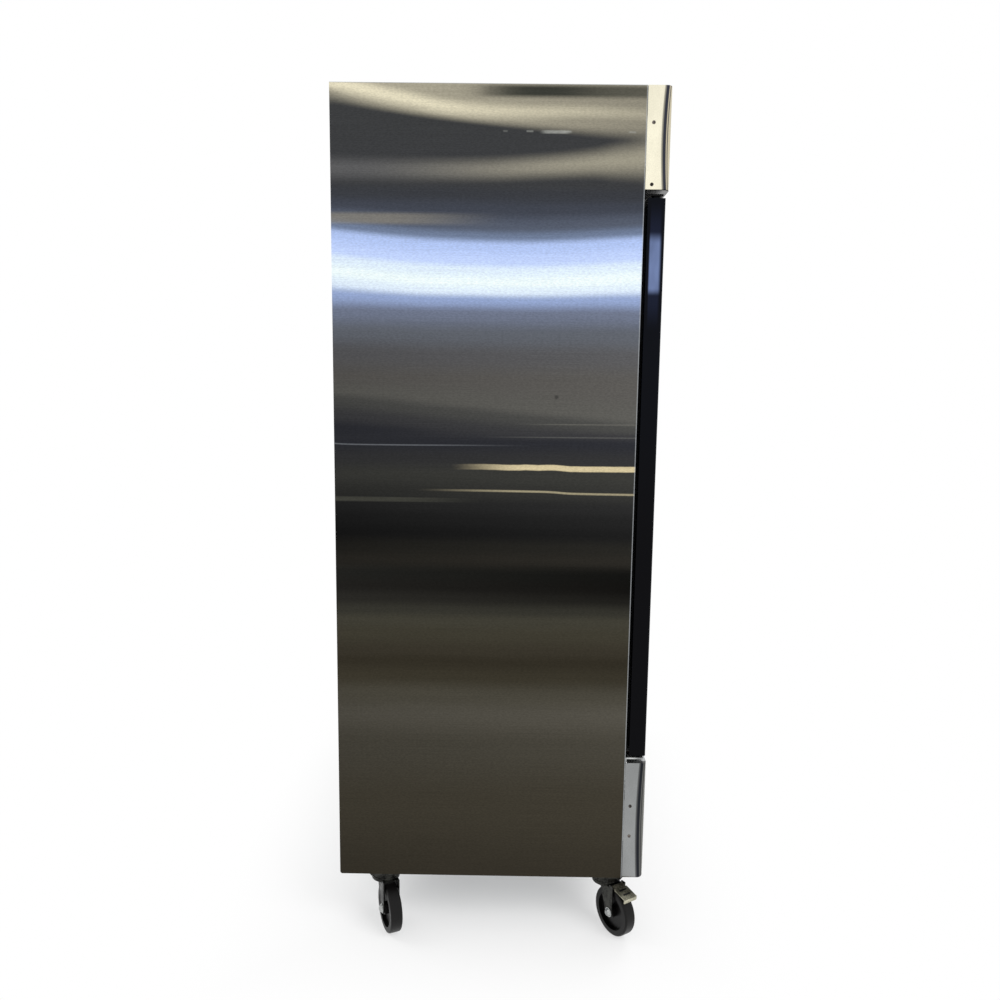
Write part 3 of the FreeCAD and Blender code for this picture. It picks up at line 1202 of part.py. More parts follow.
def caster_fork(braked):
    """Crown, king pin and two legs in one pressing, with the axle bolt as a second solid."""
    low = crown_bottom()
    crown = rod(FORK_RADIUS, FORK_PLATE, V(0, 0, low), UP)
    half = WHEEL_WIDTH / 2 + LEG_GAP + LEG_THICKNESS
    bridge = box(0, FORK_RADIUS + BRIDGE_REACH, -half, half, low, low + FORK_PLATE / 2)
    pin = rod(KING_PIN_RADIUS, FORK_PLATE + KING_PIN_RISE, V(0, 0, low), UP)
    body = crown.multiFuse([bridge, pin, fork_leg(1), fork_leg(-1)])
    pieces = []
    axle_hole = rod(AXLE_RADIUS, 4 * half, V(TRAIL, -2 * half, WHEEL_RADIUS), ALONG_Y)
    body = body.cut(axle_hole)
    if braked:
        ear_x, ear_z = PEDAL_PIVOT
        body = body.cut(rod(PEDAL_PIN_RADIUS, 4 * half, V(ear_x, -2 * half, ear_z), ALONG_Y))
        pieces.append(rod(PEDAL_PIN_RADIUS, 2 * half, V(ear_x, -half, ear_z), ALONG_Y))
    axle = rod(AXLE_RADIUS, 2 * half, V(TRAIL, -half, WHEEL_RADIUS), ALONG_Y)
    heads = []
    for y in (-half - AXLE_HEAD, half):
        corners = hexagon(V(TRAIL, y, WHEEL_RADIUS), AXLE_HEAD_RADIUS, ALONG_X, UP)
        heads.append(outline(corners, V(0, AXLE_HEAD, 0)))
    return [body, fused([axle] + heads)] + pieces


def caster_wheel():
    """Wheel turned from one profile: bored hub, thin web, and a crowned tread."""
    bore = AXLE_RADIUS + PIN_CLEARANCE
    hub = WHEEL_WIDTH / 2 + LEG_GAP - RUN_CLEARANCE
    web, half = WHEEL_WEB / 2, WHEEL_WIDTH / 2
    r = WHEEL_RADIUS
    side = [V(bore, -hub, 0), V(HUB_RADIUS, -hub, 0), V(HUB_RADIUS, -web, 0), V(RIM_RADIUS, -web, 0),
            V(RIM_RADIUS, -half, 0), V(r - TREAD_ROUND, -half, 0)]
    flat = half - TREAD_ROUND
    edges = [Part.LineSegment(a, b).toShape() for a, b in zip(side, side[1:])]
    slope = TREAD_ROUND * math.sqrt(0.5)
    turn = r - TREAD_ROUND + slope
    other = [V(p.x, -p.y, 0) for p in reversed(side)]
    edges.append(Part.Arc(side[-1], V(turn, -flat - slope, 0), V(r, -flat, 0)).toShape())
    edges.append(Part.LineSegment(V(r, -flat, 0), V(r, flat, 0)).toShape())
    edges.append(Part.Arc(V(r, flat, 0), V(turn, flat + slope, 0), other[0]).toShape())
    edges += [Part.LineSegment(a, b).toShape() for a, b in zip(other, other[1:])]
    edges.append(Part.LineSegment(other[-1], side[0]).toShape())
    wheel = Part.Face(Part.Wire(edges)).revolve(V(0, 0, 0), ALONG_Y, 360)
    return wheel.translated(V(TRAIL, 0, WHEEL_RADIUS))


def brake_pedal():
    """Foot pedal on a cross pin, with the shoe that meets the tread."""
    px, pz = PEDAL_PIVOT
    tx, tz = PEDAL_TIP
    half = PEDAL_WIDTH / 2
    tube_outer = rod(PEDAL_TUBE_RADIUS, PEDAL_WIDTH, V(px, -half, pz), ALONG_Y)
    run = V(tx - px, 0, tz - pz).normalize()
    up = V(-run.z, 0, run.x)
    a = V(px, -half, pz) + up * (PEDAL_TUBE_RADIUS - PEDAL_THICKNESS)
    length = math.hypot(tx - px, tz - pz)
    rise = up * PEDAL_THICKNESS
    plate = outline([a, a + run * length, a + run * length + rise, a + rise], V(0, PEDAL_WIDTH, 0))
    widen = V(0, -(PAD_WIDTH - PEDAL_WIDTH) / 2, 0)
    pad_start = a + run * PAD_START + widen
    pad_end = a + run * length + widen
    pad = outline([pad_start, pad_end, pad_end + rise, pad_start + rise], V(0, PAD_WIDTH, 0))
    lip_start = pad_end - run * PEDAL_THICKNESS
    drop = up * PEDAL_LIP
    lip = outline([lip_start, pad_end, pad_end - drop, lip_start - drop], V(0, PAD_WIDTH, 0))
    tread_z = WHEEL_RADIUS + math.sqrt(WHEEL_RADIUS ** 2 - (SHOE_AT - SHOE_LENGTH / 2 - TRAIL) ** 2)
    shoe_top = a.z + run.z / run.x * (SHOE_AT - px) + SHOE_SINK
    shoe_low = min(tread_z + SHOE_CLEARANCE, shoe_top - SHOE_LEAST)
    side = half - SHOE_SIDE_GAP
    shoe = box(SHOE_AT - SHOE_LENGTH / 2, SHOE_AT + SHOE_LENGTH / 2, -side, side, shoe_low, shoe_top)
    body = tube_outer.multiFuse([plate, pad, lip, shoe])
    bore = rod(PEDAL_PIN_RADIUS + PIN_CLEARANCE, PEDAL_WIDTH + 2 * PAST, V(px, -half - PAST, pz), ALONG_Y)
    return [body.cut(bore)]


def save_casters():
    mounts = both(caster_mount(FRONT_CASTER_Y) + caster_mount(REAR_CASTER_Y))
    save("caster_mounts", mounts)
    for end, y, swivel in (("front", FRONT_CASTER_Y, FRONT_SWIVEL), ("rear", REAR_CASTER_Y, REAR_SWIVEL)):
        fork = [place_caster(s, y, swivel) for s in caster_fork(end == "front")]
        wheel = place_caster(caster_wheel(), y, swivel)
        save(f"{end}_left_fork", fork)
        save(f"{end}_right_fork", [mirrored(s) for s in fork])
        save(f"{end}_left_wheel", [wheel])
        save(f"{end}_right_wheel", [mirrored(wheel)])
    pedal = [place_caster(s, FRONT_CASTER_Y, FRONT_SWIVEL) for s in brake_pedal()]
    save("front_left_brake_pedal", pedal)
    save("front_right_brake_pedal", [mirrored(s) for s in pedal])


def save_pair(name, pieces):
    """Left-hand piece and its mirror image, as two nodes."""
    save("left_" + name, pieces)
    save("right_" + name, [mirrored(p) for p in pieces])


def main():
    os.makedirs("parts", exist_ok=True)
    save_pair("side_panel", [side_panel()])
    single = (top_panel, back_panel, insulation, inner_liner, header_beam, front_face_trim, center_mullion,
              base_frame, header_panel, lower_grille, trim_brackets, trim_screws, hinge_brackets,
              shelf_standards, shelf_clips, led_light_bars, evaporator_coil, evaporator_cover,
              evaporator_fan_motors, unit_tray, condenser_coil, fan_shroud, condenser_fan_motor, compressor,
              refrigerant_lines, condensate_pan, electrical_box, rear_grille, control_panel, light_rocker)
    for make in single:
        save(make.__name__, make())
    save("condenser_fan", [condenser_fan()])
    save("button_up", button(BUTTON_X[0]))
    save("button_down", button(BUTTON_X[1]))
    save_pair("evaporator_fan", [evaporator_fan()])
    save_pair("shelves", left_shelves())
    save_pair("door_frame", door_frame() + hinge_bushes() + [closer_bar()])
    save_pair("handle_stile", handle_stile())
    save_pair("glass_panes", glass_panes())
    save_pair("glass_spacer", glass_spacer())
    save_pair("door_gasket", door_gasket())
    save_casters()


main()
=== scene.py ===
import bpy
import bmesh
import json
import math
from mathutils import Matrix, Vector


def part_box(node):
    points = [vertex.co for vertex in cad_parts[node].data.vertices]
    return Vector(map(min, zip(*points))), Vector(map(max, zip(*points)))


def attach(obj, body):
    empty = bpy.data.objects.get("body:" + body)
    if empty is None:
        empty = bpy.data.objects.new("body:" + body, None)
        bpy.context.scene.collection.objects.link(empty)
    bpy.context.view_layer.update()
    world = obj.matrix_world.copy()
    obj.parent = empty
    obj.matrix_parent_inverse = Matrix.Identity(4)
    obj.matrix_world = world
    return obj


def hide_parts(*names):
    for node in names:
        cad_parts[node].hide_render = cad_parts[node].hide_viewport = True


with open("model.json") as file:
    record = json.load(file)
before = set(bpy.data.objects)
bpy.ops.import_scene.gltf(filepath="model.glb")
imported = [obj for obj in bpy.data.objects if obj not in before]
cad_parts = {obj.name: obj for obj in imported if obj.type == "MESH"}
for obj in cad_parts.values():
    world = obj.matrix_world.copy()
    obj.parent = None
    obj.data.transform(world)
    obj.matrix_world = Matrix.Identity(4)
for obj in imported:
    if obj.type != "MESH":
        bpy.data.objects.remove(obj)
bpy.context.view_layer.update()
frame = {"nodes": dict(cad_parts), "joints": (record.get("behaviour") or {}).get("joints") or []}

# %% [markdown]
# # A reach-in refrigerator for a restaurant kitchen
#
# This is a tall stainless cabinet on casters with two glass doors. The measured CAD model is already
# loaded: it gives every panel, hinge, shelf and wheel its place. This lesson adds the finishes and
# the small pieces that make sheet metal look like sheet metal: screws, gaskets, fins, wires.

MM = 0.001
nodes = frame["nodes"]
panel_low, panel_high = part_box("left_side_panel")
HALF = -panel_low.x              # half the cabinet's width
FRONT = panel_low.y              # front edge of the side panels
BACK = panel_high.y
BASE = panel_low.z               # underside of the cabinet
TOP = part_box("top_panel")[1].z
print("cabinet", round(2 * HALF, 3), "wide and", round(TOP, 3), "tall with", len(nodes), "CAD nodes")

# %% [markdown]
# ## Building shaders in short sentences
#
# Every finish here is procedural. The helper below keeps each recipe short: it makes one material and
# offers the few operations a finish needs, so a recipe reads like a description of the surface.
# Patterns read object coordinates, which are metres in the cabinet's own frame.


# %% A small shader writer
def linear(red, green, blue):
    """Colour from the usual 0-255 screen values to the linear values a shader wants."""
    def one(c):
        c /= 255
        return c / 12.92 if c <= 0.04045 else ((c + 0.055) / 1.055) ** 2.4
    return one(red), one(green), one(blue), 1.0


class Finish:
    """One material and the nodes that feed its Principled shader."""

    def __init__(self, name, color=(128, 128, 128), roughness=0.5, metallic=0.0, **sockets):
        self.material = bpy.data.materials.new(name)
        self.material.use_nodes = True
        self.tree = self.material.node_tree
        self.shader = self.tree.nodes["Principled BSDF"]
        self.shader.inputs["Base Color"].default_value = linear(*color)
        self.shader.inputs["Roughness"].default_value = roughness
        self.shader.inputs["Metallic"].default_value = metallic
        for socket, value in sockets.items():
            self.shader.inputs[socket.replace("_", " ")].default_value = value
        self.position = self.node("ShaderNodeTexCoord").outputs["Object"]

    def node(self, kind, **settings):
        made = self.tree.nodes.new(kind)
        for key, value in settings.items():
            setattr(made, key, value)
        return made

    def put(self, socket, value):
        """Sets a socket to a number or colour, or links it to another socket."""
        if isinstance(value, bpy.types.NodeSocket):
            self.tree.links.new(value, socket)
        else:
            socket.default_value = value

    def axis(self, letter):
        if not hasattr(self, "split"):
            self.split = self.node("ShaderNodeSeparateXYZ")
            self.put(self.split.inputs[0], self.position)
        return self.split.outputs[letter]

    def math(self, operation, a, b=0.0, c=0.0):
        made = self.node("ShaderNodeMath", operation=operation)
        for socket, value in zip(made.inputs, (a, b, c)):
            self.put(socket, value)
        return made.outputs[0]

    def times(self, a, b):
        return self.math("MULTIPLY", a, b)

    def less(self, a, b):
        return self.math("SUBTRACT", a, b)

    def step(self, value, low, high, start=0.0, end=1.0):
        """Smooth rise from start to end while value goes from low to high."""
        made = self.node("ShaderNodeMapRange", interpolation_type="SMOOTHSTEP")
        for key, number in (("Value", value), ("From Min", low), ("From Max", high), ("To Min", start),
                            ("To Max", end)):
            self.put(made.inputs[key], number)
        return made.outputs["Result"]

    def stripe(self, value, center, half_width, softness):
        """1 within half_width of center, fading to 0 over softness."""
        distance = self.math("ABSOLUTE", self.less(value, center))
        return self.step(distance, half_width, half_width + softness, 1.0, 0.0)

    def noise(self, scale, stretch=(1, 1, 1), detail=3.0, seed=0.0):
        mapping = self.node("ShaderNodeMapping")
        self.put(mapping.inputs["Vector"], self.position)
        mapping.inputs["Scale"].default_value = stretch
        mapping.inputs["Location"].default_value = (seed, seed * 0.7, seed * 1.3)
        made = self.node("ShaderNodeTexNoise")
        self.put(made.inputs["Vector"], mapping.outputs[0])
        made.inputs["Scale"].default_value = scale
        made.inputs["Detail"].default_value = detail
        return made.outputs["Fac"]

    def ramp(self, value, stops):
        made = self.node("ShaderNodeValToRGB")
        band = made.color_ramp
        band.interpolation = "EASE"
        for place, color in stops[:-2]:
            band.elements.new(place)
        for element, (place, color) in zip(band.elements, stops):
            element.position = place
        for element, (place, color) in zip(band.elements, stops):
            element.color = linear(*color)
        self.put(made.inputs[0], value)
        return made.outputs["Color"]

    def curve(self, value, points):
        """Smooth line through (share, number) points, the share going from 0 to 1."""
        made = self.node("ShaderNodeFloatCurve")
        numbers = [number for _, number in points]
        low, span = min(numbers), max(max(numbers) - min(numbers), 1e-6)
        track = made.mapping.curves[0].points
        for share, number in points[1:-1]:
            track.new(share, (number - low) / span)
        track[0].location = (points[0][0], (points[0][1] - low) / span)
        track[-1].location = (points[-1][0], (points[-1][1] - low) / span)
        made.mapping.update()
        self.put(made.inputs["Value"], value)
        return self.math("MULTIPLY_ADD", made.outputs[0], span, low)

    def mix(self, factor, first, second, blend="MIX"):
        """Blends two colours; they may be sockets or linear colours."""
        made = self.node("ShaderNodeMix", data_type="RGBA", blend_type=blend)
        for socket, value in zip((made.inputs[0], made.inputs[6], made.inputs[7]), (factor, first, second)):
            self.put(socket, value)
        return made.outputs[2]

    def tint(self, color, factor):
        """Colour times a factor, which may be a colour or a grey number."""
        return self.mix(1.0, color, factor, "MULTIPLY")

    def color(self, value):
        self.put(self.shader.inputs["Base Color"], value)

    def roughness(self, value):
        self.put(self.shader.inputs["Roughness"], value)

    def bump(self, height, strength=0.2, distance=0.0005):
        made = self.node("ShaderNodeBump")
        made.inputs["Strength"].default_value = strength
        made.inputs["Distance"].default_value = distance
        self.put(made.inputs["Height"], height)
        self.put(self.shader.inputs["Normal"], made.outputs[0])


def finish_nodes(finish, *names):
    """Gives one finish to several CAD nodes."""
    for name in names:
        nodes[name].data.materials.clear()
        nodes[name].data.materials.append(finish.material)


# %% [markdown]
# ## Brushed stainless on the sides
#
# The outer sheets leave the mill with a fine grain that runs front to back. Grain blurs what the sheet
# mirrors along one direction only, so a room shows up in it as broad level bands, light and dark.
# These bands are painted reflections, laid into the colour by height, so the sheet shows them in a plain
# studio too. A gentle warp bends the upper ones, because thin sheet is never quite flat.

# %% Side sheet: painted reflection tones by height
# Painted reflections: the light and dark bands that the brushed sheet mirrors, as colour by height.
REFLECTION_TONES = [  # metres above the floor, screen colour
    (2.12, (61, 62, 63)), (1.90, (61, 62, 64)), (1.875, (59, 61, 66)), (1.84, (66, 70, 80)),
    (1.80, (86, 93, 108)), (1.778, (112, 126, 152)), (1.758, (178, 198, 242)), (1.72, (195, 213, 255)),
    (1.70, (224, 239, 255)), (1.672, (240, 253, 255)), (1.652, (226, 240, 254)), (1.632, (150, 168, 208)),
    (1.60, (111, 119, 139)), (1.55, (95, 99, 107)), (1.50, (86, 86, 88)), (1.44, (87, 85, 82)),
    (1.38, (89, 88, 84)),
]
REFLECTION_TONES_BELOW = [  # the same, from where the upper table ends
    (1.38, (89, 88, 84)), (1.355, (72, 72, 70)), (1.32, (58, 58, 60)), (1.29, (44, 45, 50)),
    (1.25, (50, 50, 51)), (1.21, (56, 56, 53)), (1.165, (48, 48, 46)), (1.135, (38, 38, 38)),
    (1.10, (31, 31, 31)), (1.065, (26, 26, 26)), (1.03, (35, 34, 31)), (1.0, (40, 38, 34)),
    (0.965, (27, 27, 25)), (0.93, (27, 26, 24)), (0.90, (36, 35, 32)), (0.87, (52, 51, 45)),
    (0.845, (64, 62, 53)), (0.81, (62, 59, 49)), (0.765, (56, 52, 43)), (0.74, (50, 46, 37)),
    (0.70, (57, 53, 43)), (0.65, (72, 69, 60)), (0.60, (79, 76, 68)), (0.52, (68, 65, 57)),
    (0.36, (61, 57, 48)), (0.16, (53, 49, 41)),
]
# How much lighter the painted reflection is at the front than in the middle, by height.
FRONT_REFLECTION_GAIN = [  # metres above the floor, how much lighter the front is than the middle
    (0.16, 0.09), (0.42, 0.08), (0.50, 0.12), (0.61, 0.13), (0.70, -0.03), (0.80, 0.05),
    (0.88, -0.06), (0.955, -0.38), (0.99, 0.14), (1.10, 0.32), (1.165, 0.28), (1.22, 0.15),
    (1.50, 0.17), (1.57, 0.05), (2.12, 0.0),
]


def tones(finish, height, table):
    """Colour ramp over a table of heights, given from the top down."""
    low, high = table[-1][0], table[0][0]
    place = finish.math("DIVIDE", finish.less(height, low), high - low)
    return finish.ramp(place, [((z - low) / (high - low), color) for z, color in reversed(table)])


def grain(finish, along, amount=0.12, seed=0.0):
    """Long fine scratches along one axis, as a factor around 1."""
    stretch = {"Y": (300, 1.2, 300), "X": (1.2, 300, 300), "Z": (300, 300, 1.2)}[along]
    fine = finish.noise(3.0, stretch, 4.0, seed)
    return finish.step(fine, 0.25, 0.75, 1 - amount, 1 + amount)


# %% [markdown]
# The level bands are not enough for the top of the sheet. There the spot welds pull the steel, and the
# light from above runs down across it in a long curved streak, with a second, softer one below. Each
# streak is a line whose height is a curve over the depth of the cabinet, from its front edge to its back.

# %% Side sheet: the finish
def curved_streaks(steel, color, depth_share, z):
    """Two curved painted light streaks, a painted dark reflection lens and the weld marks near the top of the
    sheet.
    """
    # Painted light: a lit plateau above a lower edge that curves over the depth.
    lower_edge = steel.curve(depth_share,
                             [(0.0, 2.008), (0.15, 2.014), (0.35, 2.025), (0.6, 2.041), (0.8, 2.061),
                              (1.0, 2.092)])
    softness = steel.curve(depth_share,
                           [(0.0, 0.022), (0.3, 0.013), (0.6, 0.010), (0.8, 0.012), (1.0, 0.030)])
    lit = steel.step(steel.less(z, lower_edge), steel.times(softness, -1.0), softness)
    plateau = steel.mix(depth_share, linear(143, 138, 123), linear(176, 170, 150))
    color = steel.mix(lit, color, plateau)
    # A painted highlight along a curved ridge, strongest at the back.
    ridge = steel.curve(depth_share,
                        [(0.0, 2.055), (0.2, 2.059), (0.4, 2.058), (0.57, 2.0635), (0.75, 2.084),
                         (0.9, 2.106), (1.0, 2.122)])
    ridge_width = steel.curve(depth_share, [(0.0, 0.020), (0.4, 0.024), (0.7, 0.026), (1.0, 0.026)])
    away = steel.math("ABSOLUTE", steel.less(z, ridge))
    glint = steel.times(steel.step(away, 0.0, ridge_width, 1.0, 0.0),
                        steel.curve(depth_share,
                                    [(0.0, 0.22), (0.3, 0.45), (0.55, 0.7), (0.75, 0.9), (1.0, 1.0)]))
    color = steel.mix(glint, color, linear(232, 224, 196))
    # The lens: a painted dark reflection near the top, towards the front.
    lens = steel.times(steel.stripe(z, 2.104, 0.006, 0.014),
                       steel.curve(depth_share,
                                   [(0.0, 0.72), (0.1, 0.8), (0.35, 1.0), (0.48, 0.7), (0.62, 0.0),
                                    (1.0, 0.0)]))
    color = steel.mix(lens, color, linear(60, 61, 55))
    # A painted highlight along the top edge.
    top_edge_highlight = steel.times(steel.step(z, 2.113, 2.125), steel.step(depth_share, 0.32, 0.02, 0.15, 0.25))
    color = steel.mix(steel.times(top_edge_highlight, steel.step(depth_share, 0.85, 0.6)), color,
                      linear(206, 200, 180))
    # A second, softer painted streak of light lower down, warm in front and grey at the back.
    second = steel.curve(depth_share,
                         [(0.0, 1.956), (0.15, 1.947), (0.35, 1.936), (0.55, 1.929), (1.0, 1.929)])
    second_width = steel.curve(depth_share,
                               [(0.0, 0.062), (0.1, 0.050), (0.2, 0.040), (0.4, 0.036), (1.0, 0.038)])
    away = steel.math("ABSOLUTE", steel.less(z, second))
    glow = steel.step(away, 0.0, second_width, 1.0, 0.0)
    color = steel.mix(glow, color, steel.mix(steel.step(depth_share, 0.05, 0.95), linear(158, 153, 136),
                                             linear(92, 92, 93)))
    # Weld marks: one smear towards the front and faint dots behind it.
    row = steel.stripe(z, 2.0155, 0.0008, 0.0022)
    smear = steel.times(steel.stripe(depth_share, 0.285, 0.025, 0.03),
                        steel.stripe(z, 2.0145, 0.0015, 0.004))
    dots = steel.step(steel.noise(34.0, (0, 1, 0), 0.0, 2.6), 0.60, 0.68)
    dots = steel.times(steel.times(dots, row), steel.step(depth_share, 0.55, 0.35, 0.0, 0.35))
    color = steel.mix(dots, color, linear(176, 178, 172))
    return steel.mix(steel.times(smear, 0.5), color, linear(184, 186, 180))


def fine_lines(steel, color, depth_share, z):
    """Thin level streaks of painted reflection in the middle of the sheet, warm in front and grey at the
    back.
    """
    ragged = steel.times(steel.less(steel.noise(16.0, (0, 1, 0), 2.0, 9.0), 0.5), 0.005)
    step_down = steel.step(depth_share, 0.27, 0.21, 0.0, -0.002)
    z_warm = steel.less(steel.math("ADD", z, ragged), step_down)
    z_thin = steel.less(z, steel.curve(depth_share,
                                       [(0.0, -0.003), (0.2, -0.002), (0.32, 0.002), (1.0, 0.003)]))
    z_grey = steel.less(z, steel.curve(depth_share,
                                       [(0.0, 0.0025), (0.5, 0.001), (0.9, -0.0005), (1.0, 0.002)]))
    reflection_streaks = (  # line to follow, centre, half width, softness, begins, full, strength, tone
        (z_warm, 1.2325, 0.0052, 0.003, 0.62, 0.36, 1.0, (212, 197, 158)),
        (z_thin, 1.1715, 0.0012, 0.0024, 0.74, 0.36, 0.72, (182, 171, 140)),
        (z_grey, 1.2845, 0.0006, 0.0018, 0.30, 0.80, 0.8, (104, 107, 112)),
        (z_thin, 1.147, 0.0035, 0.004, 0.48, 0.80, 0.7, (70, 70, 63)),
        (z_grey, 1.305, 0.0005, 0.0018, 0.55, 0.25, 0.4, (112, 112, 108)),
        (z_grey, 1.3365, 0.0005, 0.0018, 0.42, 0.20, 0.35, (128, 126, 118)),
    )
    # The painted warm reflection fringe above the painted bright band, towards the back.
    fringe = steel.times(steel.stripe(z, 1.817, 0.006, 0.012),
                         steel.step(depth_share, 0.42, 0.85, 0.0, 0.5))
    color = steel.mix(fringe, color, linear(150, 143, 125))
    for line_z, center, half, soft, start, full, strength, tone in reflection_streaks:
        line = steel.times(steel.stripe(line_z, center, half, soft),
                           steel.step(depth_share, start, full, 0.0, strength))
        color = steel.mix(line, color, linear(*tone))
    return color


def sheet_with_bands():
    """Side sheet: painted reflection tones by height, then painted streaks, thin lines and dent shade, and
    fine grain.
    """
    steel = Finish("Brushed side sheet", roughness=0.34, metallic=1.0)
    y, z = steel.axis("Y"), steel.axis("Z")
    depth_share = steel.math("DIVIDE", steel.less(y, FRONT), BACK - FRONT)   # 0 in front, 1 at the back
    # The painted bright reflection band bows a little, and the painted grey step below it falls towards the
    # front.
    middle = steel.less(depth_share, 0.45)
    bow = steel.times(steel.times(middle, middle),
                      steel.times(steel.step(z, 1.60, 1.70), steel.step(z, 1.82, 1.87, 0.07, 0.0)))
    window = steel.times(steel.step(z, 1.295, 1.325), steel.step(z, 1.46, 1.40))
    fall = steel.times(steel.times(middle, 0.062), window)
    wander = steel.times(steel.less(steel.noise(1.0, (0, 2.2, 1.1), 1.5, 4.0), 0.5), 0.014)
    height = steel.math("ADD", z, wander)
    for shift in (bow, fall):
        height = steel.less(height, shift)
    color = steel.mix(steel.step(height, 1.379, 1.381), tones(steel, height, REFLECTION_TONES_BELOW),
                      tones(steel, height, REFLECTION_TONES))
    # The painted reflection is lighter or darker at the front than in the middle, by height.
    lowest, span = FRONT_REFLECTION_GAIN[0][0], FRONT_REFLECTION_GAIN[-1][0] - FRONT_REFLECTION_GAIN[0][0]
    z_share = steel.math("DIVIDE", steel.less(z, lowest), span)
    gain = steel.curve(z_share, [((h - lowest) / span, g) for h, g in FRONT_REFLECTION_GAIN])
    ahead = steel.less(1.0, steel.times(depth_share, 2.0))
    color = steel.tint(color, steel.math("ADD", 1.0, steel.times(gain, ahead)))
    color = curved_streaks(steel, color, depth_share, z)
    color = fine_lines(steel, color, depth_share, z)
    # A small dent as a painted dark spot of shade, and a painted highlight on the bend along the front edge.
    away = steel.math("SQRT", steel.math("ADD", steel.math("POWER", steel.math("ADD", y, 0.143), 2.0),
                                         steel.math("POWER", steel.less(z, 1.404), 2.0)))
    color = steel.mix(steel.step(away, 0.002, 0.007, 0.6, 0.0), color, linear(44, 44, 44))
    front_edge_highlight = steel.step(y, FRONT + 0.0026, FRONT + 0.0014)
    color = steel.mix(steel.times(front_edge_highlight, 0.5), color, linear(188, 192, 196))
    color = steel.tint(color, grain(steel, "Y", 0.07))
    color = steel.tint(color, steel.step(steel.noise(420.0, (1, 0.35, 1), 2.0, 3.0), 0.2, 0.8, 0.88, 1.12))
    steel.color(color)
    steel.roughness(steel.step(steel.noise(2.0, (200, 1, 200), 3.0, 5.0), 0.2, 0.8, 0.28, 0.42))
    steel.bump(steel.noise(3.0, (300, 1.2, 300), 3.0, 1.0), 0.12, 0.0002)
    return steel


side_steel = sheet_with_bands()
finish_nodes(side_steel, "left_side_panel", "right_side_panel")
print("side sheets have", len(side_steel.tree.nodes), "shader nodes")

# %% [markdown]
# ## Header and grille
#
# Both covers are folded from the same stock, with the grain running across the front. Their side
# flanges are polished, with painted reflections: the upper one is bright and warm with a dark
# reflection that follows its rounded corner, and the lower one is a duller grey.


# %% Polished flanges
def folded_cover(name, flange_reflection, corner_dark_reflection, corner_light_reflection, top_glow):
    """Folded sheet with polished side flanges; their painted reflections run in stripes round the front
    corner.
    """
    steel = Finish(name, roughness=0.26, metallic=1.0)
    x, y, z = steel.axis("X"), steel.axis("Y"), steel.axis("Z")
    low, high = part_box(name)
    front = low.y
    on_side = steel.step(steel.math("ABSOLUTE", x), HALF - 0.016, HALF - 0.012)
    middle = steel.math("DIVIDE", steel.less(z, (low.z + high.z) / 2), (high.z - low.z) / 2)
    belly = steel.times(steel.less(1.0, steel.times(middle, middle)), 0.005)
    distance = steel.less(steel.less(y, front), belly)
    # Painted reflections in stripes round the polished corner.
    reflection_streaks = steel.ramp(steel.math("DIVIDE", distance, 0.022), [
        (0.0, corner_light_reflection), (0.10, corner_light_reflection), (0.19, corner_dark_reflection), (0.28, corner_light_reflection),
        (0.40, corner_dark_reflection), (0.60, corner_dark_reflection), (0.76, tuple(c * 0.62 for c in flange_reflection)),
        (0.90, flange_reflection), (1.0, flange_reflection)])
    cloud = steel.step(steel.noise(9.0, (1, 2, 1), 3.0, 3.0), 0.3, 0.8, 0.86, 1.04)
    side = steel.tint(reflection_streaks, cloud)
    front_tone = steel.mix(steel.noise(1.2, (1, 1, 3), 2.0, 6.0), linear(*top_glow), linear(196, 198, 198))
    color = steel.mix(on_side, front_tone, side)
    color = steel.tint(color, grain(steel, "X", 0.06))
    rim = steel.step(z, low.z + 0.0012, low.z + 0.0022)      # the folded lower rim stays in the shade
    steel.color(steel.mix(rim, linear(14, 14, 15), color))
    steel.bump(steel.noise(3.0, (1.2, 300, 300), 3.0, 1.0), 0.08, 0.0002)
    finish_nodes(steel, name)


folded_cover("header_panel", (254, 248, 224), (58, 60, 70), (216, 206, 178), (178, 180, 180))
folded_cover("lower_grille", (150, 152, 152), (40, 42, 47), (112, 112, 108), (168, 170, 171))

# %% [markdown]
# ## The other finishes
#
# Each one is a short recipe: a base colour, how rough it is, and one or two patterns that break up the
# surface, such as spangle on galvanised sheet or fine orange peel on enamel.


# %% Sheet, plastic, rubber and glass
def speckled(name, color, roughness, metallic=0.0, scale=400.0, amount=0.12, spread=0.08, bump=0.05,
             **sockets):
    """Plain finish with fine speckle in colour and roughness."""
    made = Finish(name, color, roughness, metallic, **sockets)
    fine = made.noise(scale, (1, 1, 1), 4.0)
    broad = made.noise(6.0, (1, 1, 1), 3.0, 8.0)
    factor = made.step(made.math("ADD", made.times(fine, 0.6), made.times(broad, 0.4)),
                       0.3, 0.7, 1 - amount, 1 + amount)
    made.color(made.tint(linear(*color), factor))
    made.roughness(made.step(broad, 0.25, 0.75, max(roughness - spread, 0.02), roughness + spread))
    if bump:
        made.bump(fine, bump, 0.0003)
    return made


def galvanised():
    sheet = Finish("Galvanised sheet", roughness=0.42, metallic=0.85)
    cells = sheet.node("ShaderNodeTexVoronoi")
    cells.inputs["Scale"].default_value = 55.0
    sheet.put(cells.inputs["Vector"], sheet.position)
    shade = sheet.node("ShaderNodeSeparateColor")
    sheet.put(shade.inputs[0], cells.outputs["Color"])
    sheet.color(sheet.mix(shade.outputs[0], linear(150, 155, 158), linear(186, 190, 192)))
    sheet.roughness(sheet.step(shade.outputs[1], 0.0, 1.0, 0.34, 0.5))
    return sheet


def brushed(name, color, along, roughness=0.3):
    steel = Finish(name, color, roughness, 1.0)
    steel.color(steel.tint(linear(*color), grain(steel, along, 0.09)))
    steel.roughness(steel.step(steel.noise(2.0, (1, 1, 1), 3.0, 5.0), 0.2, 0.8, roughness - 0.05,
                               roughness + 0.07))
    return steel


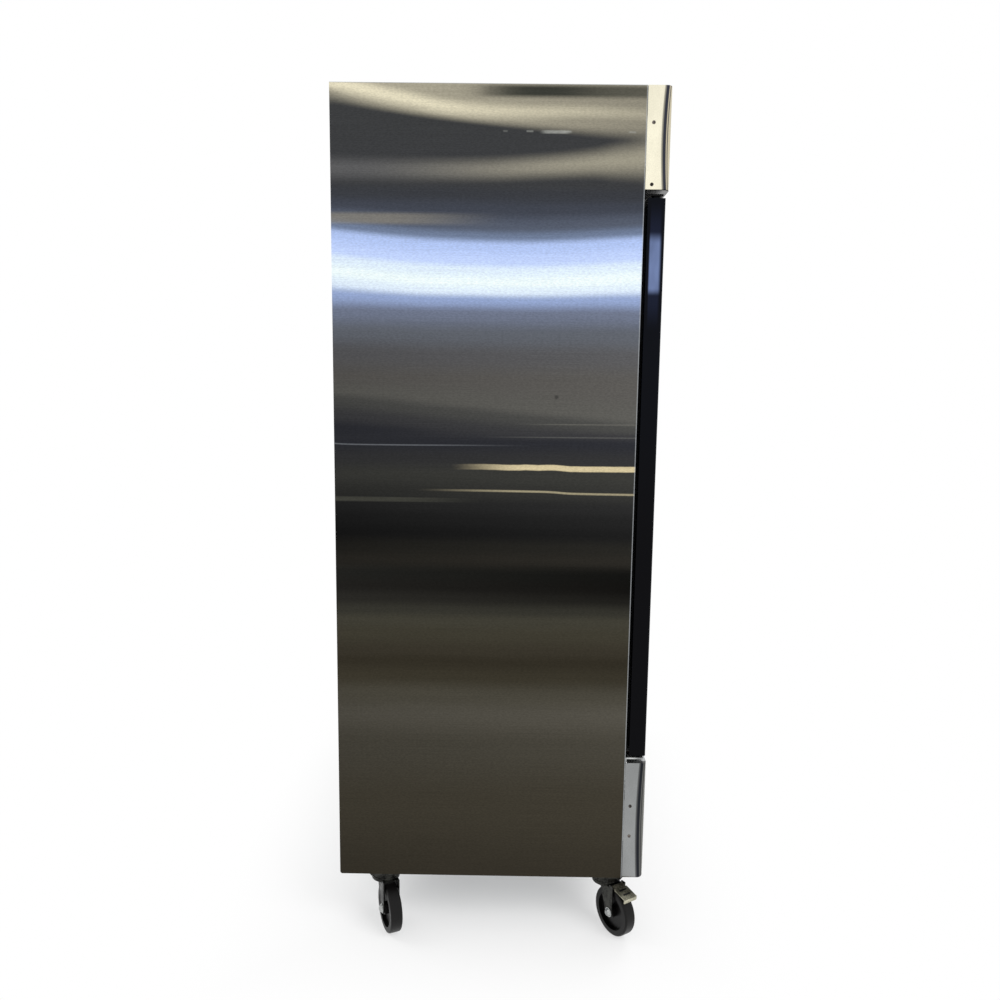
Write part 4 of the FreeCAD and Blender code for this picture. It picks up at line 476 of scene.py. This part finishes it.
def black_door():
    """Satin black frame, with the cool sheen of a window high on its outer edges."""
    black = Finish("Black door frame", (4, 5, 9), 0.22, Specular_IOR_Level=0.06)
    x, y, z = (black.axis(letter) for letter in "XYZ")
    side = black.step(black.math("ABSOLUTE", x), HALF - 0.0032, HALF - 0.0024)
    # Painted sheen: a patchy band high on the outer edges.
    band = black.times(black.step(z, 1.645, 1.665), black.step(z, 1.795, 1.765))
    width = black.times(black.step(y, -0.353, -0.357), black.step(y, -0.384, -0.376))
    glow = black.times(black.times(band, width), side)
    patchy = black.step(black.noise(12.0, (0, 3, 1), 1.0, 2.0), 0.3, 0.7, 0.7, 1.0)
    # Painted reflection: a navy tint higher up, and a navy halo round the sheen.
    navy = black.mix(black.step(z, 1.0, 1.62), linear(4, 4, 7), linear(6, 8, 15))
    halo = black.times(black.times(width, side), black.stripe(z, 1.715, 0.075, 0.08))
    navy = black.mix(black.times(halo, 0.5), navy, linear(30, 36, 58))
    black.color(black.mix(black.times(glow, patchy), navy, linear(108, 124, 164)))
    black.bump(black.noise(500.0, (1, 1, 1), 2.0), 0.03, 0.0002)
    return black


def clear_glass():
    glass = Finish("Door glass", (226, 236, 234), 0.02, Transmission_Weight=1.0, IOR=1.46)
    glass.roughness(glass.step(glass.noise(3.0, (1, 1, 1), 3.0, 1.0), 0.45, 0.8, 0.012, 0.05))
    return glass


def lamp_cover():
    lens = Finish("Lamp cover", (236, 240, 244), 0.4)
    lens.shader.inputs["Emission Color"].default_value = linear(226, 238, 255)
    lens.shader.inputs["Emission Strength"].default_value = 0.6
    lens.color(lens.mix(lens.noise(90.0, (1, 1, 0.2), 2.0), linear(226, 230, 236), linear(246, 248, 250)))
    return lens


def machined(name, dark, light, roughness):
    """Plated or weathered steel, mottled between a dark and a light tone."""
    zinc = Finish(name, light, roughness, 0.9)
    blotch = zinc.math("ADD", zinc.times(zinc.noise(38.0, (1, 1, 1), 4.0, 2.0), 0.7),
                       zinc.times(zinc.noise(240.0, (1, 1, 1), 2.0, 7.0), 0.3))
    zinc.color(zinc.mix(zinc.step(blotch, 0.36, 0.64), linear(*dark), linear(*light)))
    zinc.roughness(zinc.step(blotch, 0.3, 0.7, roughness + 0.12, roughness - 0.06))
    return zinc


def hinge_finish():
    """Zinc below, and near black on the pair of hinges under the header."""
    hinge = machined("Hinge steel", (132, 134, 134), (206, 208, 206), 0.26)
    upper = hinge.step(hinge.axis("Z"), 1.19, 1.21)
    zinc_tone = hinge.shader.inputs["Base Color"].links[0].from_socket
    hinge.color(hinge.mix(upper, zinc_tone, linear(16, 16, 17)))
    return hinge


zinc_bright = machined("Bright zinc", (132, 134, 134), (206, 208, 206), 0.26)
screw_steel = machined("Screw steel", (38, 34, 34), (132, 124, 118), 0.3)
# Near black, mottled steel for the caster forks, mounts and race rings.
zinc_dark = machined("Dark caster steel", (14, 14, 14), (64, 64, 60), 0.34)
pedal_steel = machined("Pedal steel", (104, 102, 88), (196, 192, 170), 0.28)
top_steel = brushed("Top sheet", (176, 178, 178), "X")
galvanised_sheet = galvanised()
enamel = speckled("White enamel", (224, 226, 226), 0.35, scale=150.0, amount=0.02, bump=0.12)
foam = speckled("Foam", (214, 196, 140), 0.9, scale=220.0, amount=0.1, bump=0.3)
black_plastic = speckled("Black trim", (24, 24, 26), 0.5, scale=900.0, amount=0.15, bump=0.12)
black_gloss = speckled("Black gloss paint", (12, 12, 13), 0.25, scale=60.0, amount=0.2, bump=0.03)
grey_plastic = speckled("Grey plastic", (58, 59, 61), 0.5, scale=700.0, bump=0.1)
fan_plastic = speckled("Fan plastic", (20, 20, 21), 0.4, scale=500.0, bump=0.06)
door_black = black_door()
spacer_metal = brushed("Glass spacer", (104, 106, 108), "Z", 0.4)
gasket_rubber = speckled("Gasket rubber", (16, 16, 17), 0.6, scale=300.0, amount=0.2, bump=0.06)
coated_wire = speckled("Coated wire", (226, 227, 222), 0.32, scale=90.0, amount=0.03, bump=0.02)
fin_metal = brushed("Fin stock", (190, 192, 194), "Z", 0.35)
copper = speckled("Copper tube", (196, 124, 86), 0.28, 1.0, scale=30.0, amount=0.15, bump=0.02)
tyre_black = speckled("Wheel rubber", (7, 6, 6), 0.38, scale=120.0, amount=0.35, spread=0.12, bump=0.08,
                      Specular_IOR_Level=0.22)
hinge_steel = hinge_finish()
glass = clear_glass()
lamp = lamp_cover()
display_glass = Finish("Display window", (5, 8, 10), 0.06, Coat_Weight=0.6)
display_glass.color(display_glass.mix(display_glass.noise(25.0), linear(4, 6, 8), linear(10, 14, 17)))

SIDES, ENDS = ("left", "right"), ("front", "rear")
FINISHES = {
    top_steel: ["top_panel"],
    galvanised_sheet: ["back_panel", "rear_grille", "base_frame", "unit_tray", "fan_shroud", "trim_brackets"],
    foam: ["insulation", "header_beam"],
    enamel: ["inner_liner", "evaporator_cover"],
    black_plastic: ["front_face_trim", "control_panel"],
    grey_plastic: ["condensate_pan", "electrical_box"],
    zinc_bright: ["trim_screws", "shelf_standards", "shelf_clips"],
    hinge_steel: ["hinge_brackets"],
    lamp: ["led_light_bars"],
    fin_metal: ["evaporator_coil", "condenser_coil"],
    copper: ["refrigerant_lines"],
    coated_wire: ["left_shelves", "right_shelves"],
    black_gloss: ["compressor", "condenser_fan_motor", "evaporator_fan_motors"],
    fan_plastic: ["condenser_fan", "left_evaporator_fan", "right_evaporator_fan", "light_rocker",
                  "button_up", "button_down"],
    door_black: ["center_mullion"] + [f"{side}_{part}" for side in SIDES
                                      for part in ("door_frame", "handle_stile")],
    glass: ["left_glass_panes", "right_glass_panes"],
    spacer_metal: ["left_glass_spacer", "right_glass_spacer"],
    gasket_rubber: ["left_door_gasket", "right_door_gasket"],
    zinc_dark: ["caster_mounts"] + [f"{end}_{side}_fork" for end in ENDS for side in SIDES],
    pedal_steel: ["front_left_brake_pedal", "front_right_brake_pedal"],
    tyre_black: [f"{end}_{side}_wheel" for end in ENDS for side in SIDES],
}
for finish, names in FINISHES.items():
    finish_nodes(finish, *names)
print(len(bpy.data.materials), "materials on", len(nodes), "CAD nodes")

# %% [markdown]
# ## Growing what repeats
#
# Screws, wires and fins come in rows. Geometry nodes are made for that: one recipe holds the piece and
# the pitch, and its named inputs are set for each row. The grown result is kept as a plain mesh, so it
# can ride on the body that carries it.

# %% A small geometry-nodes writer
depsgraph = bpy.context.evaluated_depsgraph_get


class Recipe:
    """A geometry-nodes tree with named inputs that grows plain meshes."""

    def __init__(self, name):
        self.tree = bpy.data.node_groups.new(name, "GeometryNodeTree")
        self.tree.interface.new_socket("Geometry", in_out="INPUT", socket_type="NodeSocketGeometry")
        self.tree.interface.new_socket("Geometry", in_out="OUTPUT", socket_type="NodeSocketGeometry")
        self.entry = self.tree.nodes.new("NodeGroupInput")
        self.identifiers = {}

    def input(self, name, kind):
        socket = self.tree.interface.new_socket(name, in_out="INPUT", socket_type="NodeSocket" + kind)
        self.identifiers[name] = socket.identifier
        return self.entry.outputs[name]

    def node(self, kind, sockets, output=0, **settings):
        made = self.tree.nodes.new(kind)
        for key, value in settings.items():
            setattr(made, key, value)
        for key, value in sockets.items():
            if isinstance(value, bpy.types.NodeSocket):
                self.tree.links.new(value, made.inputs[key])
            else:
                made.inputs[key].default_value = value
        return made.outputs[output]

    def end(self, geometry):
        """Every recipe ends the same way: real copies, one finish."""
        real = self.node("GeometryNodeRealizeInstances", {"Geometry": geometry})
        painted = self.node("GeometryNodeSetMaterial",
                            {"Geometry": real, "Material": self.input("Finish", "Material")})
        leave = self.tree.nodes.new("NodeGroupOutput")
        self.tree.links.new(painted, leave.inputs[0])

    def grow(self, name, body, carrier=None, **inputs):
        """Runs the recipe on a carrier mesh and leaves a plain mesh that rides on the body."""
        host = bpy.data.objects.new(name, carrier or bpy.data.meshes.new(name))
        bpy.context.scene.collection.objects.link(host)
        modifier = host.modifiers.new("Recipe", "NODES")
        modifier.node_group = self.tree
        for key, value in inputs.items():
            modifier[self.identifiers[key.replace("_", " ")]] = value
        bpy.context.view_layer.update()
        mesh = bpy.data.meshes.new_from_object(host.evaluated_get(depsgraph()),
                                               preserve_all_data_layers=True,
                                               depsgraph=depsgraph())
        host.modifiers.clear()
        host.data = mesh
        mesh.name = name
        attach(host, body)
        print(name, len(mesh.polygons), "faces on", body)
        return host


def plain_piece(name, form, finish, body, smooth=True):
    """Turns a bmesh into an object that rides on a body."""
    bmesh.ops.recalc_face_normals(form, faces=form.faces)
    mesh = bpy.data.meshes.new(name)
    form.to_mesh(mesh)
    form.free()
    mesh.materials.append(finish.material)
    if smooth:
        mesh.shade_smooth()
        mesh.set_sharp_from_angle(angle=math.radians(35))
    piece = bpy.data.objects.new(name, mesh)
    bpy.context.scene.collection.objects.link(piece)
    if body:
        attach(piece, body)
    return piece


# %% [markdown]
# ## Screws
#
# The covers and the back sheets are held by pan-head screws with a cross recess. The head is modelled
# once, as a polar grid whose height is a formula, so its cross is pressed in, not painted on. The recipe
# then sets one head on every point, facing along the point's own normal and turned by a random angle,
# since no two screws stop at the same place.

# %% Head shapes
def pan_head(radius, height, rings=22, spokes=48):
    """Domed head with a pressed cross; it stands on z = 0 and faces +Z."""
    form = bmesh.new()
    arm_width, arm_length = radius * 0.17, radius * 0.62

    def level(px, py):
        dome = height * math.sqrt(max(1 - 0.72 * (px * px + py * py) / radius ** 2, 0))
        across, along = sorted((abs(px), abs(py)))
        wall = min(max((arm_width - across) / (0.35 * arm_width), 0), 1)
        floor = min(max((arm_length - along) / (0.6 * arm_length), 0), 1)
        return dome - 0.8 * height * wall * floor

    loops = []
    for ring in range(1, rings + 1):
        r = radius * ring / rings
        loops.append([form.verts.new((r * math.cos(a), r * math.sin(a),
                                      level(r * math.cos(a), r * math.sin(a))))
                      for a in (2 * math.pi * i / spokes for i in range(spokes))])
    loops.append([form.verts.new((v.co.x, v.co.y, 0)) for v in loops[-1]])
    middle = form.verts.new((0, 0, level(0, 0)))
    for i in range(spokes):
        j = (i + 1) % spokes
        form.faces.new((middle, loops[0][i], loops[0][j]))
        for inner, outer in zip(loops, loops[1:]):
            form.faces.new((inner[i], outer[i], outer[j], inner[j]))
    form.faces.new(list(reversed(loops[-1])))
    return form


def turned(profile, spokes=40):
    """Solid of revolution round Z from (radius, height) points, the first and last on the axis."""
    form = bmesh.new()
    rings = []
    for r, z in profile:
        if r == 0:
            rings.append([form.verts.new((0, 0, z))])
        else:
            rings.append([form.verts.new((r * math.cos(a), r * math.sin(a), z))
                          for a in (2 * math.pi * i / spokes for i in range(spokes))])
    for lower, upper in zip(rings, rings[1:]):
        for i in range(spokes):
            j = (i + 1) % spokes
            corners = [lower[i % len(lower)], lower[j % len(lower)], upper[j % len(upper)],
                       upper[i % len(upper)]]
            unique = list(dict.fromkeys(corners))
            if len(unique) > 2:
                form.faces.new(unique)
    return form


# %% The recipe that sets a head on every point
scatter = Recipe("Heads on points")
points = scatter.node("GeometryNodeMeshToPoints", {"Mesh": scatter.entry.outputs["Geometry"]})
head_shape = scatter.node("GeometryNodeObjectInfo", {"Object": scatter.input("Head", "Object")}, "Geometry")
facing = scatter.node("GeometryNodeInputNamedAttribute", {"Name": "facing"}, data_type="FLOAT_VECTOR")
FLOAT_MAX, FLOAT_RESULT = 3, 1
turn = scatter.node("FunctionNodeRandomValue",
                    {FLOAT_MAX: 2 * math.pi, "Seed": scatter.input("Seed", "Int")},
                    FLOAT_RESULT, data_type="FLOAT")
spin = scatter.node("FunctionNodeAxisAngleToRotation", {"Axis": (0, 0, 1), "Angle": turn})
aimed = scatter.node("FunctionNodeAlignRotationToVector", {"Rotation": spin, "Vector": facing}, axis="Z")
scatter.end(scatter.node("GeometryNodeInstanceOnPoints", {"Points": points, "Instance": head_shape,
                                                          "Rotation": aimed}))


def set_heads(name, body, head, spots, finish, seed):
    """Sets one head shape on (place, facing) spots; the head's own object is thrown away after."""
    carrier = bpy.data.meshes.new(name)
    carrier.from_pydata([place for place, _ in spots], [], [])
    normals = carrier.attributes.new("facing", "FLOAT_VECTOR", "POINT")
    for item, (_, direction) in zip(normals.data, spots):
        item.vector = direction
    template = plain_piece(name + "_shape", head, finish, None)
    grown = scatter.grow(name, body, carrier, Head=template, Seed=seed, Finish=finish.material)
    bpy.data.objects.remove(template)
    return grown


# %% Cover screws, hinge screws and back screws
AHEAD, BEHIND = (0, -1, 0), (0, 1, 0)
header_low, grille_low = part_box("header_panel")[0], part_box("lower_grille")[0]
screw_y = FRONT - 16 * MM
cover_heights = [header_low.z + 13 * MM, header_low.z + 151 * MM, grille_low.z + 117 * MM,
                 grille_low.z + 199 * MM]
cover_spots = [((side * HALF, screw_y, z), (side, 0, 0)) for z in cover_heights for side in (-1, 1)]
cover_head = pan_head(4.2 * MM, 1.6 * MM)      # no higher than the plain head that it replaces
cover_screws = set_heads("cover_screws", "cabinet", cover_head, cover_spots, screw_steel, 3)
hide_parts("trim_screws")

door_low, door_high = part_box("left_door_frame")
hinge_spots = [((side * (HALF - 21 * MM), FRONT - 3 * MM, z), AHEAD) for side in (-1, 1)
               for z in (door_low.z - 50 * MM, door_low.z - 30 * MM, door_high.z + 30 * MM,
                         door_high.z + 50 * MM)]
set_heads("hinge_screws", "cabinet", pan_head(5.0 * MM, 2.4 * MM), hinge_spots, zinc_bright, 5)

skin = BACK - 1.2 * MM           # outer face of the back sheets
back_low, back_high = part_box("back_panel")
columns = (-HALF + 40 * MM, 0.0, HALF - 40 * MM)
rivet_spots = [((x, skin, back_low.z + 30 * MM + i * (back_high.z - back_low.z - 60 * MM) / 7), BEHIND)
               for x in columns for i in range(8)]
set_heads("back_rivets", "cabinet", pan_head(4.5 * MM, 1.1 * MM), rivet_spots, zinc_bright, 7)
vent_low, vent_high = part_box("rear_grille")
vent_spots = [((x, skin, z), BEHIND)
              for x in (vent_low.x + 30 * MM, -375 * MM, 375 * MM, vent_high.x - 30 * MM)
              for z in (vent_low.z + 18 * MM, vent_high.z - 18 * MM)]
set_heads("rear_grille_screws", "cabinet", pan_head(4.5 * MM, 1.1 * MM), vent_spots, zinc_bright, 9)
cover_low, cover_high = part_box("evaporator_cover")
inside_spots = [((x, cover_low.y + 1.5 * MM, z), AHEAD) for x in (-0.50, -0.12, 0.12, 0.50)
                for z in (cover_low.z + 10 * MM, cover_high.z - 12 * MM)]
set_heads("evaporator_cover_screws", "cabinet", pan_head(4.5 * MM, 2.0 * MM), inside_spots, zinc_bright, 11)

# %% [markdown]
# ## Bellows gaskets
#
# A refrigerator gasket is a soft extrusion: a barbed foot in the door, two folds that let it stretch,
# and a flat pocket with the magnet. One closed section is carried round the door, with mitred corners,
# because the real one is welded from four mitred lengths.

# %% Gasket section and its run round the door
GASKET_SECTION = [(18, 0), (19.6, 0.8), (17, 2.2), (20, 3.6), (17, 5.0), (20, 6.2), (20, 8.2), (19.5, 8.7),
                  (1.5, 8.7), (1, 8.2), (1, 6.2), (4, 5.0), (1, 3.6), (4, 2.2), (1.4, 0.8), (3, 0)]   # mm


def gasket(side):
    name = side + "_door_gasket"
    low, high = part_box(name)
    form = bmesh.new()
    loops = []
    for across, deep in GASKET_SECTION:
        inset = (20 - across) * MM
        y = low.y + deep * MM
        loops.append([form.verts.new((x, y, z)) for x, z in (
            (low.x + inset, low.z + inset), (high.x - inset, low.z + inset),
            (high.x - inset, high.z - inset), (low.x + inset, high.z - inset))])
    for first, second in zip(loops, loops[1:] + loops[:1]):
        for i in range(4):
            j = (i + 1) % 4
            form.faces.new((first[i], first[j], second[j], second[i]))
    strip = plain_piece(name + "_bellows", form, gasket_rubber, side + "_door", smooth=False)
    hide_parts(name)
    return strip


for side in SIDES:
    print(gasket(side).name, "replaces the plain strips")

# %% [markdown]
# ## Wire shelves, coil tubes and fins
#
# A shelf is a grid of straight coated wires on heavier rods, and a coil is a grid of straight tubes.
# The same recipe grows both: one round bar, repeated along a pitch, and that row repeated again.

# %% The recipe for rows of round bars
bars = Recipe("Rows of round bars")
line = bars.node("GeometryNodeCurvePrimitiveLine",
                 {"Start": bars.input("Start", "Vector"), "End": bars.input("End", "Vector")})
section = bars.node("GeometryNodeCurvePrimitiveCircle",
                    {"Resolution": 12, "Radius": bars.input("Radius", "Float")})
bar = bars.node("GeometryNodeCurveToMesh", {"Curve": line, "Profile Curve": section, "Fill Caps": True})
row = bars.node("GeometryNodeMeshLine",
                {"Count": bars.input("Bars", "Int"), "Offset": bars.input("Pitch", "Vector")})
one_row = bars.node("GeometryNodeInstanceOnPoints", {"Points": row, "Instance": bar})
stack = bars.node("GeometryNodeMeshLine",
                  {"Count": bars.input("Rows", "Int"), "Offset": bars.input("Rise", "Vector")})
bars.end(bars.node("GeometryNodeInstanceOnPoints", {"Points": stack, "Instance": one_row}))

SHELVES, ROD, WIRE, WIRES = 4, 3.0 * MM, 1.8 * MM, 26
for side in SIDES:
    low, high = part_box(side + "_shelves")
    thickness = 2 * ROD + 2 * WIRE - 0.8 * MM
    rise = (0, 0, (high.z - low.z - thickness) / (SHELVES - 1))
    z = low.z + ROD
    step = (high.x - low.x - 2 * ROD) / (WIRES + 1)
    wire_z = z + ROD + WIRE - 0.8 * MM
    wires = bars.grow(side + "_shelf_wires", "cabinet", Start=(low.x + ROD + step, low.y + 3 * MM, wire_z),
                      End=(low.x + ROD + step, high.y - 3 * MM, wire_z), Radius=WIRE, Bars=WIRES,
                      Pitch=(step, 0, 0), Rows=SHELVES, Rise=rise, Finish=coated_wire.material)
    rods = bars.grow(side + "_shelf_rods", "cabinet", Start=(low.x + ROD, low.y, z),
                     End=(low.x + ROD, high.y, z), Radius=ROD, Bars=2,
                     Pitch=(high.x - low.x - 2 * ROD, 0, 0), Rows=SHELVES, Rise=rise,
                     Finish=coated_wire.material)
    cross = bars.grow(side + "_shelf_cross_rods", "cabinet", Start=(low.x + ROD, low.y + 7 * MM, z),
                      End=(high.x - ROD, low.y + 7 * MM, z), Radius=ROD, Bars=3,
                      Pitch=(0, (high.y - low.y - 14 * MM) / 2, 0), Rows=SHELVES, Rise=rise,
                      Finish=coated_wire.material)
    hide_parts(side + "_shelves")
    for part in (wires, rods, cross):
        part.data.shade_smooth()
        part.data.set_sharp_from_angle(angle=math.radians(40))

# %% The recipe for fins, and both coils
fins = Recipe("Fins")
fin = fins.node("GeometryNodeMeshCube", {"Size": fins.input("Size", "Vector")})
places = fins.node("GeometryNodeMeshLine",
                   {"Count": fins.input("Fins", "Int"), "Start Location": fins.input("Start", "Vector"),
                    "Offset": fins.input("Pitch", "Vector")})
fins.end(fins.node("GeometryNodeInstanceOnPoints", {"Points": places, "Instance": fin}))

FIN, FIN_STEP, TUBE, TUBE_STEP = 0.4 * MM, 5.0 * MM, 4.8 * MM, 31.0 * MM
for name in ("condenser_coil", "evaporator_coil"):
    low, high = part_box(name)
    middle = (low + high) / 2
    size = high - low
    end_room = 14 * MM
    width = size.x - 2 * end_room
    count = int(width / FIN_STEP) + 1
    block = fins.grow(name + "_fins", "cabinet", Size=(FIN, size.y - 6 * MM, size.z),
                      Fins=count, Start=(low.x + end_room, middle.y, middle.z),
                      Pitch=(width / (count - 1), 0, 0), Finish=fin_metal.material)
    tube_rows = int((size.z - 20 * MM) / TUBE_STEP)
    tube_low = middle.z - TUBE_STEP * (tube_rows - 1) / 2
    bars.grow(name + "_tubes", "cabinet", Start=(low.x + 7 * MM, middle.y - TUBE_STEP / 2, tube_low),
              End=(high.x - 7 * MM, middle.y - TUBE_STEP / 2, tube_low), Radius=TUBE, Bars=tube_rows,
              Pitch=(0, 0, TUBE_STEP), Rows=2, Rise=(0, TUBE_STEP, 0), Finish=copper.material)
    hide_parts(name)

# %% [markdown]
# ## Casters
#
# Each wheel turns on a bolt whose bright domed head and nut stand out on the dark fork, and a pressed
# ring closes the swivel race above. The brake pedal is stamped with two slots for grip. Their places
# come from the joints of the CAD model, so they follow each caster's own heading.

# %% Axle heads, race rings and pedal slots
joints = {joint["name"]: joint for joint in frame["joints"]}
AXLE_CAP = [(0, 8.6), (4, 8.2), (7.2, 6.6), (9.4, 4.2), (10.4, 1.6), (12.2, 1.4), (12.2, 0), (0, 0)]
RACE_RING = [(0, -4.2), (36.6, -4.2), (37.6, -3.0), (37.6, -0.8), (36.6, 0.4), (0, 0.4)]
LEG_FACE = 22.0                  # wheel's middle plane to the fork's outer face
RACE_DROP = 20.0                 # cabinet's underside to the middle of the swivel race


def in_mm(profile):
    return [(r * MM, z * MM) for r, z in profile]


def aimed_at(direction, place):
    return Matrix.Translation(place) @ Vector(direction).to_track_quat("Z", "Y").to_matrix().to_4x4()


for end in ENDS:
    for side in SIDES:
        caster = f"{end}_{side}_caster"
        spin = joints[caster + "_wheel_spin"]
        axis, hub = Vector(spin["axis"]).normalized(), Vector(spin["pos_m"])
        caps = bmesh.new()
        for sign in (-1, 1):
            cap = turned(in_mm(AXLE_CAP))
            cap.transform(aimed_at(axis * sign, hub + axis * sign * LEG_FACE * MM))
            part = bpy.data.meshes.new("cap")
            cap.to_mesh(part)
            caps.from_mesh(part)
            bpy.data.meshes.remove(part)
        plain_piece(f"{end}_{side}_axle_heads", caps, zinc_bright, caster)
        pivot = Vector(joints[caster + "_swivel"]["pos_m"])
        ring = turned(in_mm(RACE_RING))
        ring.transform(Matrix.Translation((pivot.x, pivot.y, BASE - RACE_DROP * MM)))
        plain_piece(f"{end}_{side}_race_ring", ring, zinc_dark, "cabinet")

# %% Pedal slots
PEDAL_PIVOT, PEDAL_TIP = (46.0, 133.0), (100.0, 123.0)     # mm, along the trail and up
slope = math.atan2(PEDAL_PIVOT[1] - PEDAL_TIP[1], PEDAL_TIP[0] - PEDAL_PIVOT[0])
for side in SIDES:
    pivot = Vector(joints[f"front_{side}_caster_swivel"]["pos_m"])
    hub = Vector(joints[f"front_{side}_caster_wheel_spin"]["pos_m"])
    heading = Vector((hub.x - pivot.x, hub.y - pivot.y, 0)).normalized()
    across = Vector((0, 0, 1)).cross(heading)
    slots = bmesh.new()
    for along in (22 * MM, 38 * MM):
        run = heading * math.cos(slope) + Vector((0, 0, -math.sin(slope)))
        normal = run.cross(across) * -1 if run.cross(across).z < 0 else run.cross(across)
        start = Vector((pivot.x, pivot.y, PEDAL_PIVOT[1] * MM)) + heading * PEDAL_PIVOT[0] * MM
        place = start + run * along + normal * 5.1 * MM
        frame_axes = Matrix((run, across, normal)).transposed().to_4x4()
        bmesh.ops.create_cube(slots, size=1.0, matrix=Matrix.Translation(place) @ frame_axes
                              @ Matrix.Diagonal((5 * MM, 26 * MM, 0.5 * MM, 1)))
    bmesh.ops.bevel(slots, geom=[e for e in slots.edges
                                 if abs((e.verts[0].co - e.verts[1].co).dot(normal)) > 0.0003],
                    offset=2.2 * MM, segments=4, affect="EDGES")
    plain_piece(f"{side}_pedal_slots", slots, black_gloss, f"front_{side}_brake", smooth=False)

# %% [markdown]
# ## Control panel
#
# The bezel on the grille carries a small dark display window beside the two buttons, and one tiny lamp.

# %% Display window and lamp
bezel_low, bezel_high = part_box("control_panel")
window_x, window_z = (bezel_low.x + bezel_high.x) / 2 - 28 * MM, (bezel_low.z + bezel_high.z) / 2
window = bmesh.new()
bmesh.ops.create_cube(window, size=1.0,
                      matrix=Matrix.Translation((window_x, bezel_low.y - 0.3 * MM, window_z))
                      @ Matrix.Diagonal((46 * MM, 1.0 * MM, 20 * MM, 1)))
bmesh.ops.bevel(window, geom=list(window.edges), offset=0.3 * MM, segments=2, affect="EDGES")
plain_piece("display_window", window, display_glass, "cabinet")
signal = Finish("Signal lamp", (70, 220, 120), 0.3)
signal.shader.inputs["Emission Color"].default_value = linear(70, 220, 120)
signal.shader.inputs["Emission Strength"].default_value = 0.5
signal.roughness(signal.step(signal.noise(800.0), 0.3, 0.7, 0.2, 0.4))
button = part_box("button_up")
dot = turned(in_mm([(0, 0.9), (1.2, 0.7), (1.8, 0), (1.8, -1), (0, -1)]), 24)
dot.transform(aimed_at(AHEAD, ((button[0].x + button[1].x) / 2 - 9 * MM, bezel_low.y + 0.2 * MM, window_z)))
plain_piece("signal_lamp", dot, signal, "cabinet")

# %% [markdown]
# ## Studio
#
# A pale floor, a white surround and soft light from above and both sides. The surround is the same
# white for the eye, for metal and for glass, and dimmer for matt surfaces, so the lamps can shape them.

# %% Floor, surround, lamps
world = bpy.data.worlds.new("Studio")
bpy.context.scene.world = world
world.use_nodes = True
sky = world.node_tree
background = sky.nodes["Background"]
path = sky.nodes.new("ShaderNodeLightPath")
seen = sky.nodes.new("ShaderNodeMath")
seen.operation = "MAXIMUM"
sky.links.new(path.outputs["Is Camera Ray"], seen.inputs[0])
mirrored = sky.nodes.new("ShaderNodeMath")
mirrored.operation = "MAXIMUM"
sky.links.new(path.outputs["Is Glossy Ray"], mirrored.inputs[0])
sky.links.new(path.outputs["Is Transmission Ray"], mirrored.inputs[1])
sky.links.new(mirrored.outputs[0], seen.inputs[1])
level = sky.nodes.new("ShaderNodeMapRange")
level.inputs["To Min"].default_value = 0.62
level.inputs["To Max"].default_value = 1.0
sky.links.new(seen.outputs[0], level.inputs["Value"])
sky.links.new(level.outputs[0], background.inputs["Strength"])
background.inputs["Color"].default_value = (1, 1, 1, 1)

bpy.ops.mesh.primitive_plane_add(size=40)
floor = bpy.context.object
floor.name = "Floor"
# Away from the cabinet the floor turns to plain white, so that only the shadow close to it is left.
floor_finish = Finish("Pale floor", (246, 246, 246), 0.7)
x, y = floor_finish.axis("X"), floor_finish.axis("Y")
beside = floor_finish.math("MAXIMUM", floor_finish.less(floor_finish.math("ABSOLUTE", x), HALF),
                           floor_finish.less(floor_finish.math("ABSOLUTE", y), BACK))
glow = floor_finish.node("ShaderNodeEmission")
blend_out = floor_finish.node("ShaderNodeMixShader")
floor_finish.put(blend_out.inputs[0], floor_finish.step(beside, -0.3, 0.4, 0.3, 1.0))
floor_finish.put(blend_out.inputs[1], floor_finish.shader.outputs[0])
floor_finish.put(blend_out.inputs[2], glow.outputs[0])
output = floor_finish.tree.nodes["Material Output"]
floor_finish.tree.links.new(blend_out.outputs[0], output.inputs["Surface"])
floor.data.materials.append(floor_finish.material)


def soft_lamp(name, place, size, watts):
    data = bpy.data.lights.new(name, "AREA")
    data.shape = "SQUARE"
    data.size = size
    data.energy = watts
    lamp_object = bpy.data.objects.new(name, data)
    bpy.context.scene.collection.objects.link(lamp_object)
    lamp_object.location = place
    lamp_object.rotation_euler = (Vector((0, 0, 1.0)) - Vector(place)).to_track_quat("-Z", "Y").to_euler()
    lamp_object.visible_glossy = False
    return lamp_object


soft_lamp("Key lamp", (-4.0, -3.5, 4.5), 3.0, 190)
soft_lamp("Fill lamp", (4.0, -3.0, 3.5), 3.0, 120)
soft_lamp("Back lamp", (0.5, 4.5, 4.0), 3.0, 110)

# %% Camera at eye height, square to the left side and tilted down a little
camera = bpy.data.objects.new("Camera", bpy.data.cameras.new("Camera"))
bpy.context.scene.collection.objects.link(camera)
bpy.context.scene.camera = camera
camera.data.sensor_width = 36
camera.data.lens = 31.42
AWAY, ASIDE, EYE = 2.122, -0.0265, 1.450          # from the side sheet, along Y, above the floor
PITCH, YAW, ROLL = math.radians(8.0), math.radians(0.46), math.radians(0.70)
forward = Vector((math.cos(PITCH) * math.cos(YAW), math.cos(PITCH) * math.sin(YAW), -math.sin(PITCH)))
level_right = forward.cross(Vector((0, 0, 1))).normalized()
level_up = level_right.cross(forward)
right = level_right * math.cos(ROLL) + level_up * math.sin(ROLL)
up = right.cross(forward)
turned_camera = Matrix((right, up, -forward)).transposed().to_4x4()
camera.matrix_world = Matrix.Translation((-HALF - AWAY, ASIDE, EYE)) @ turned_camera

scene = bpy.context.scene
scene.view_settings.view_transform = "Standard"
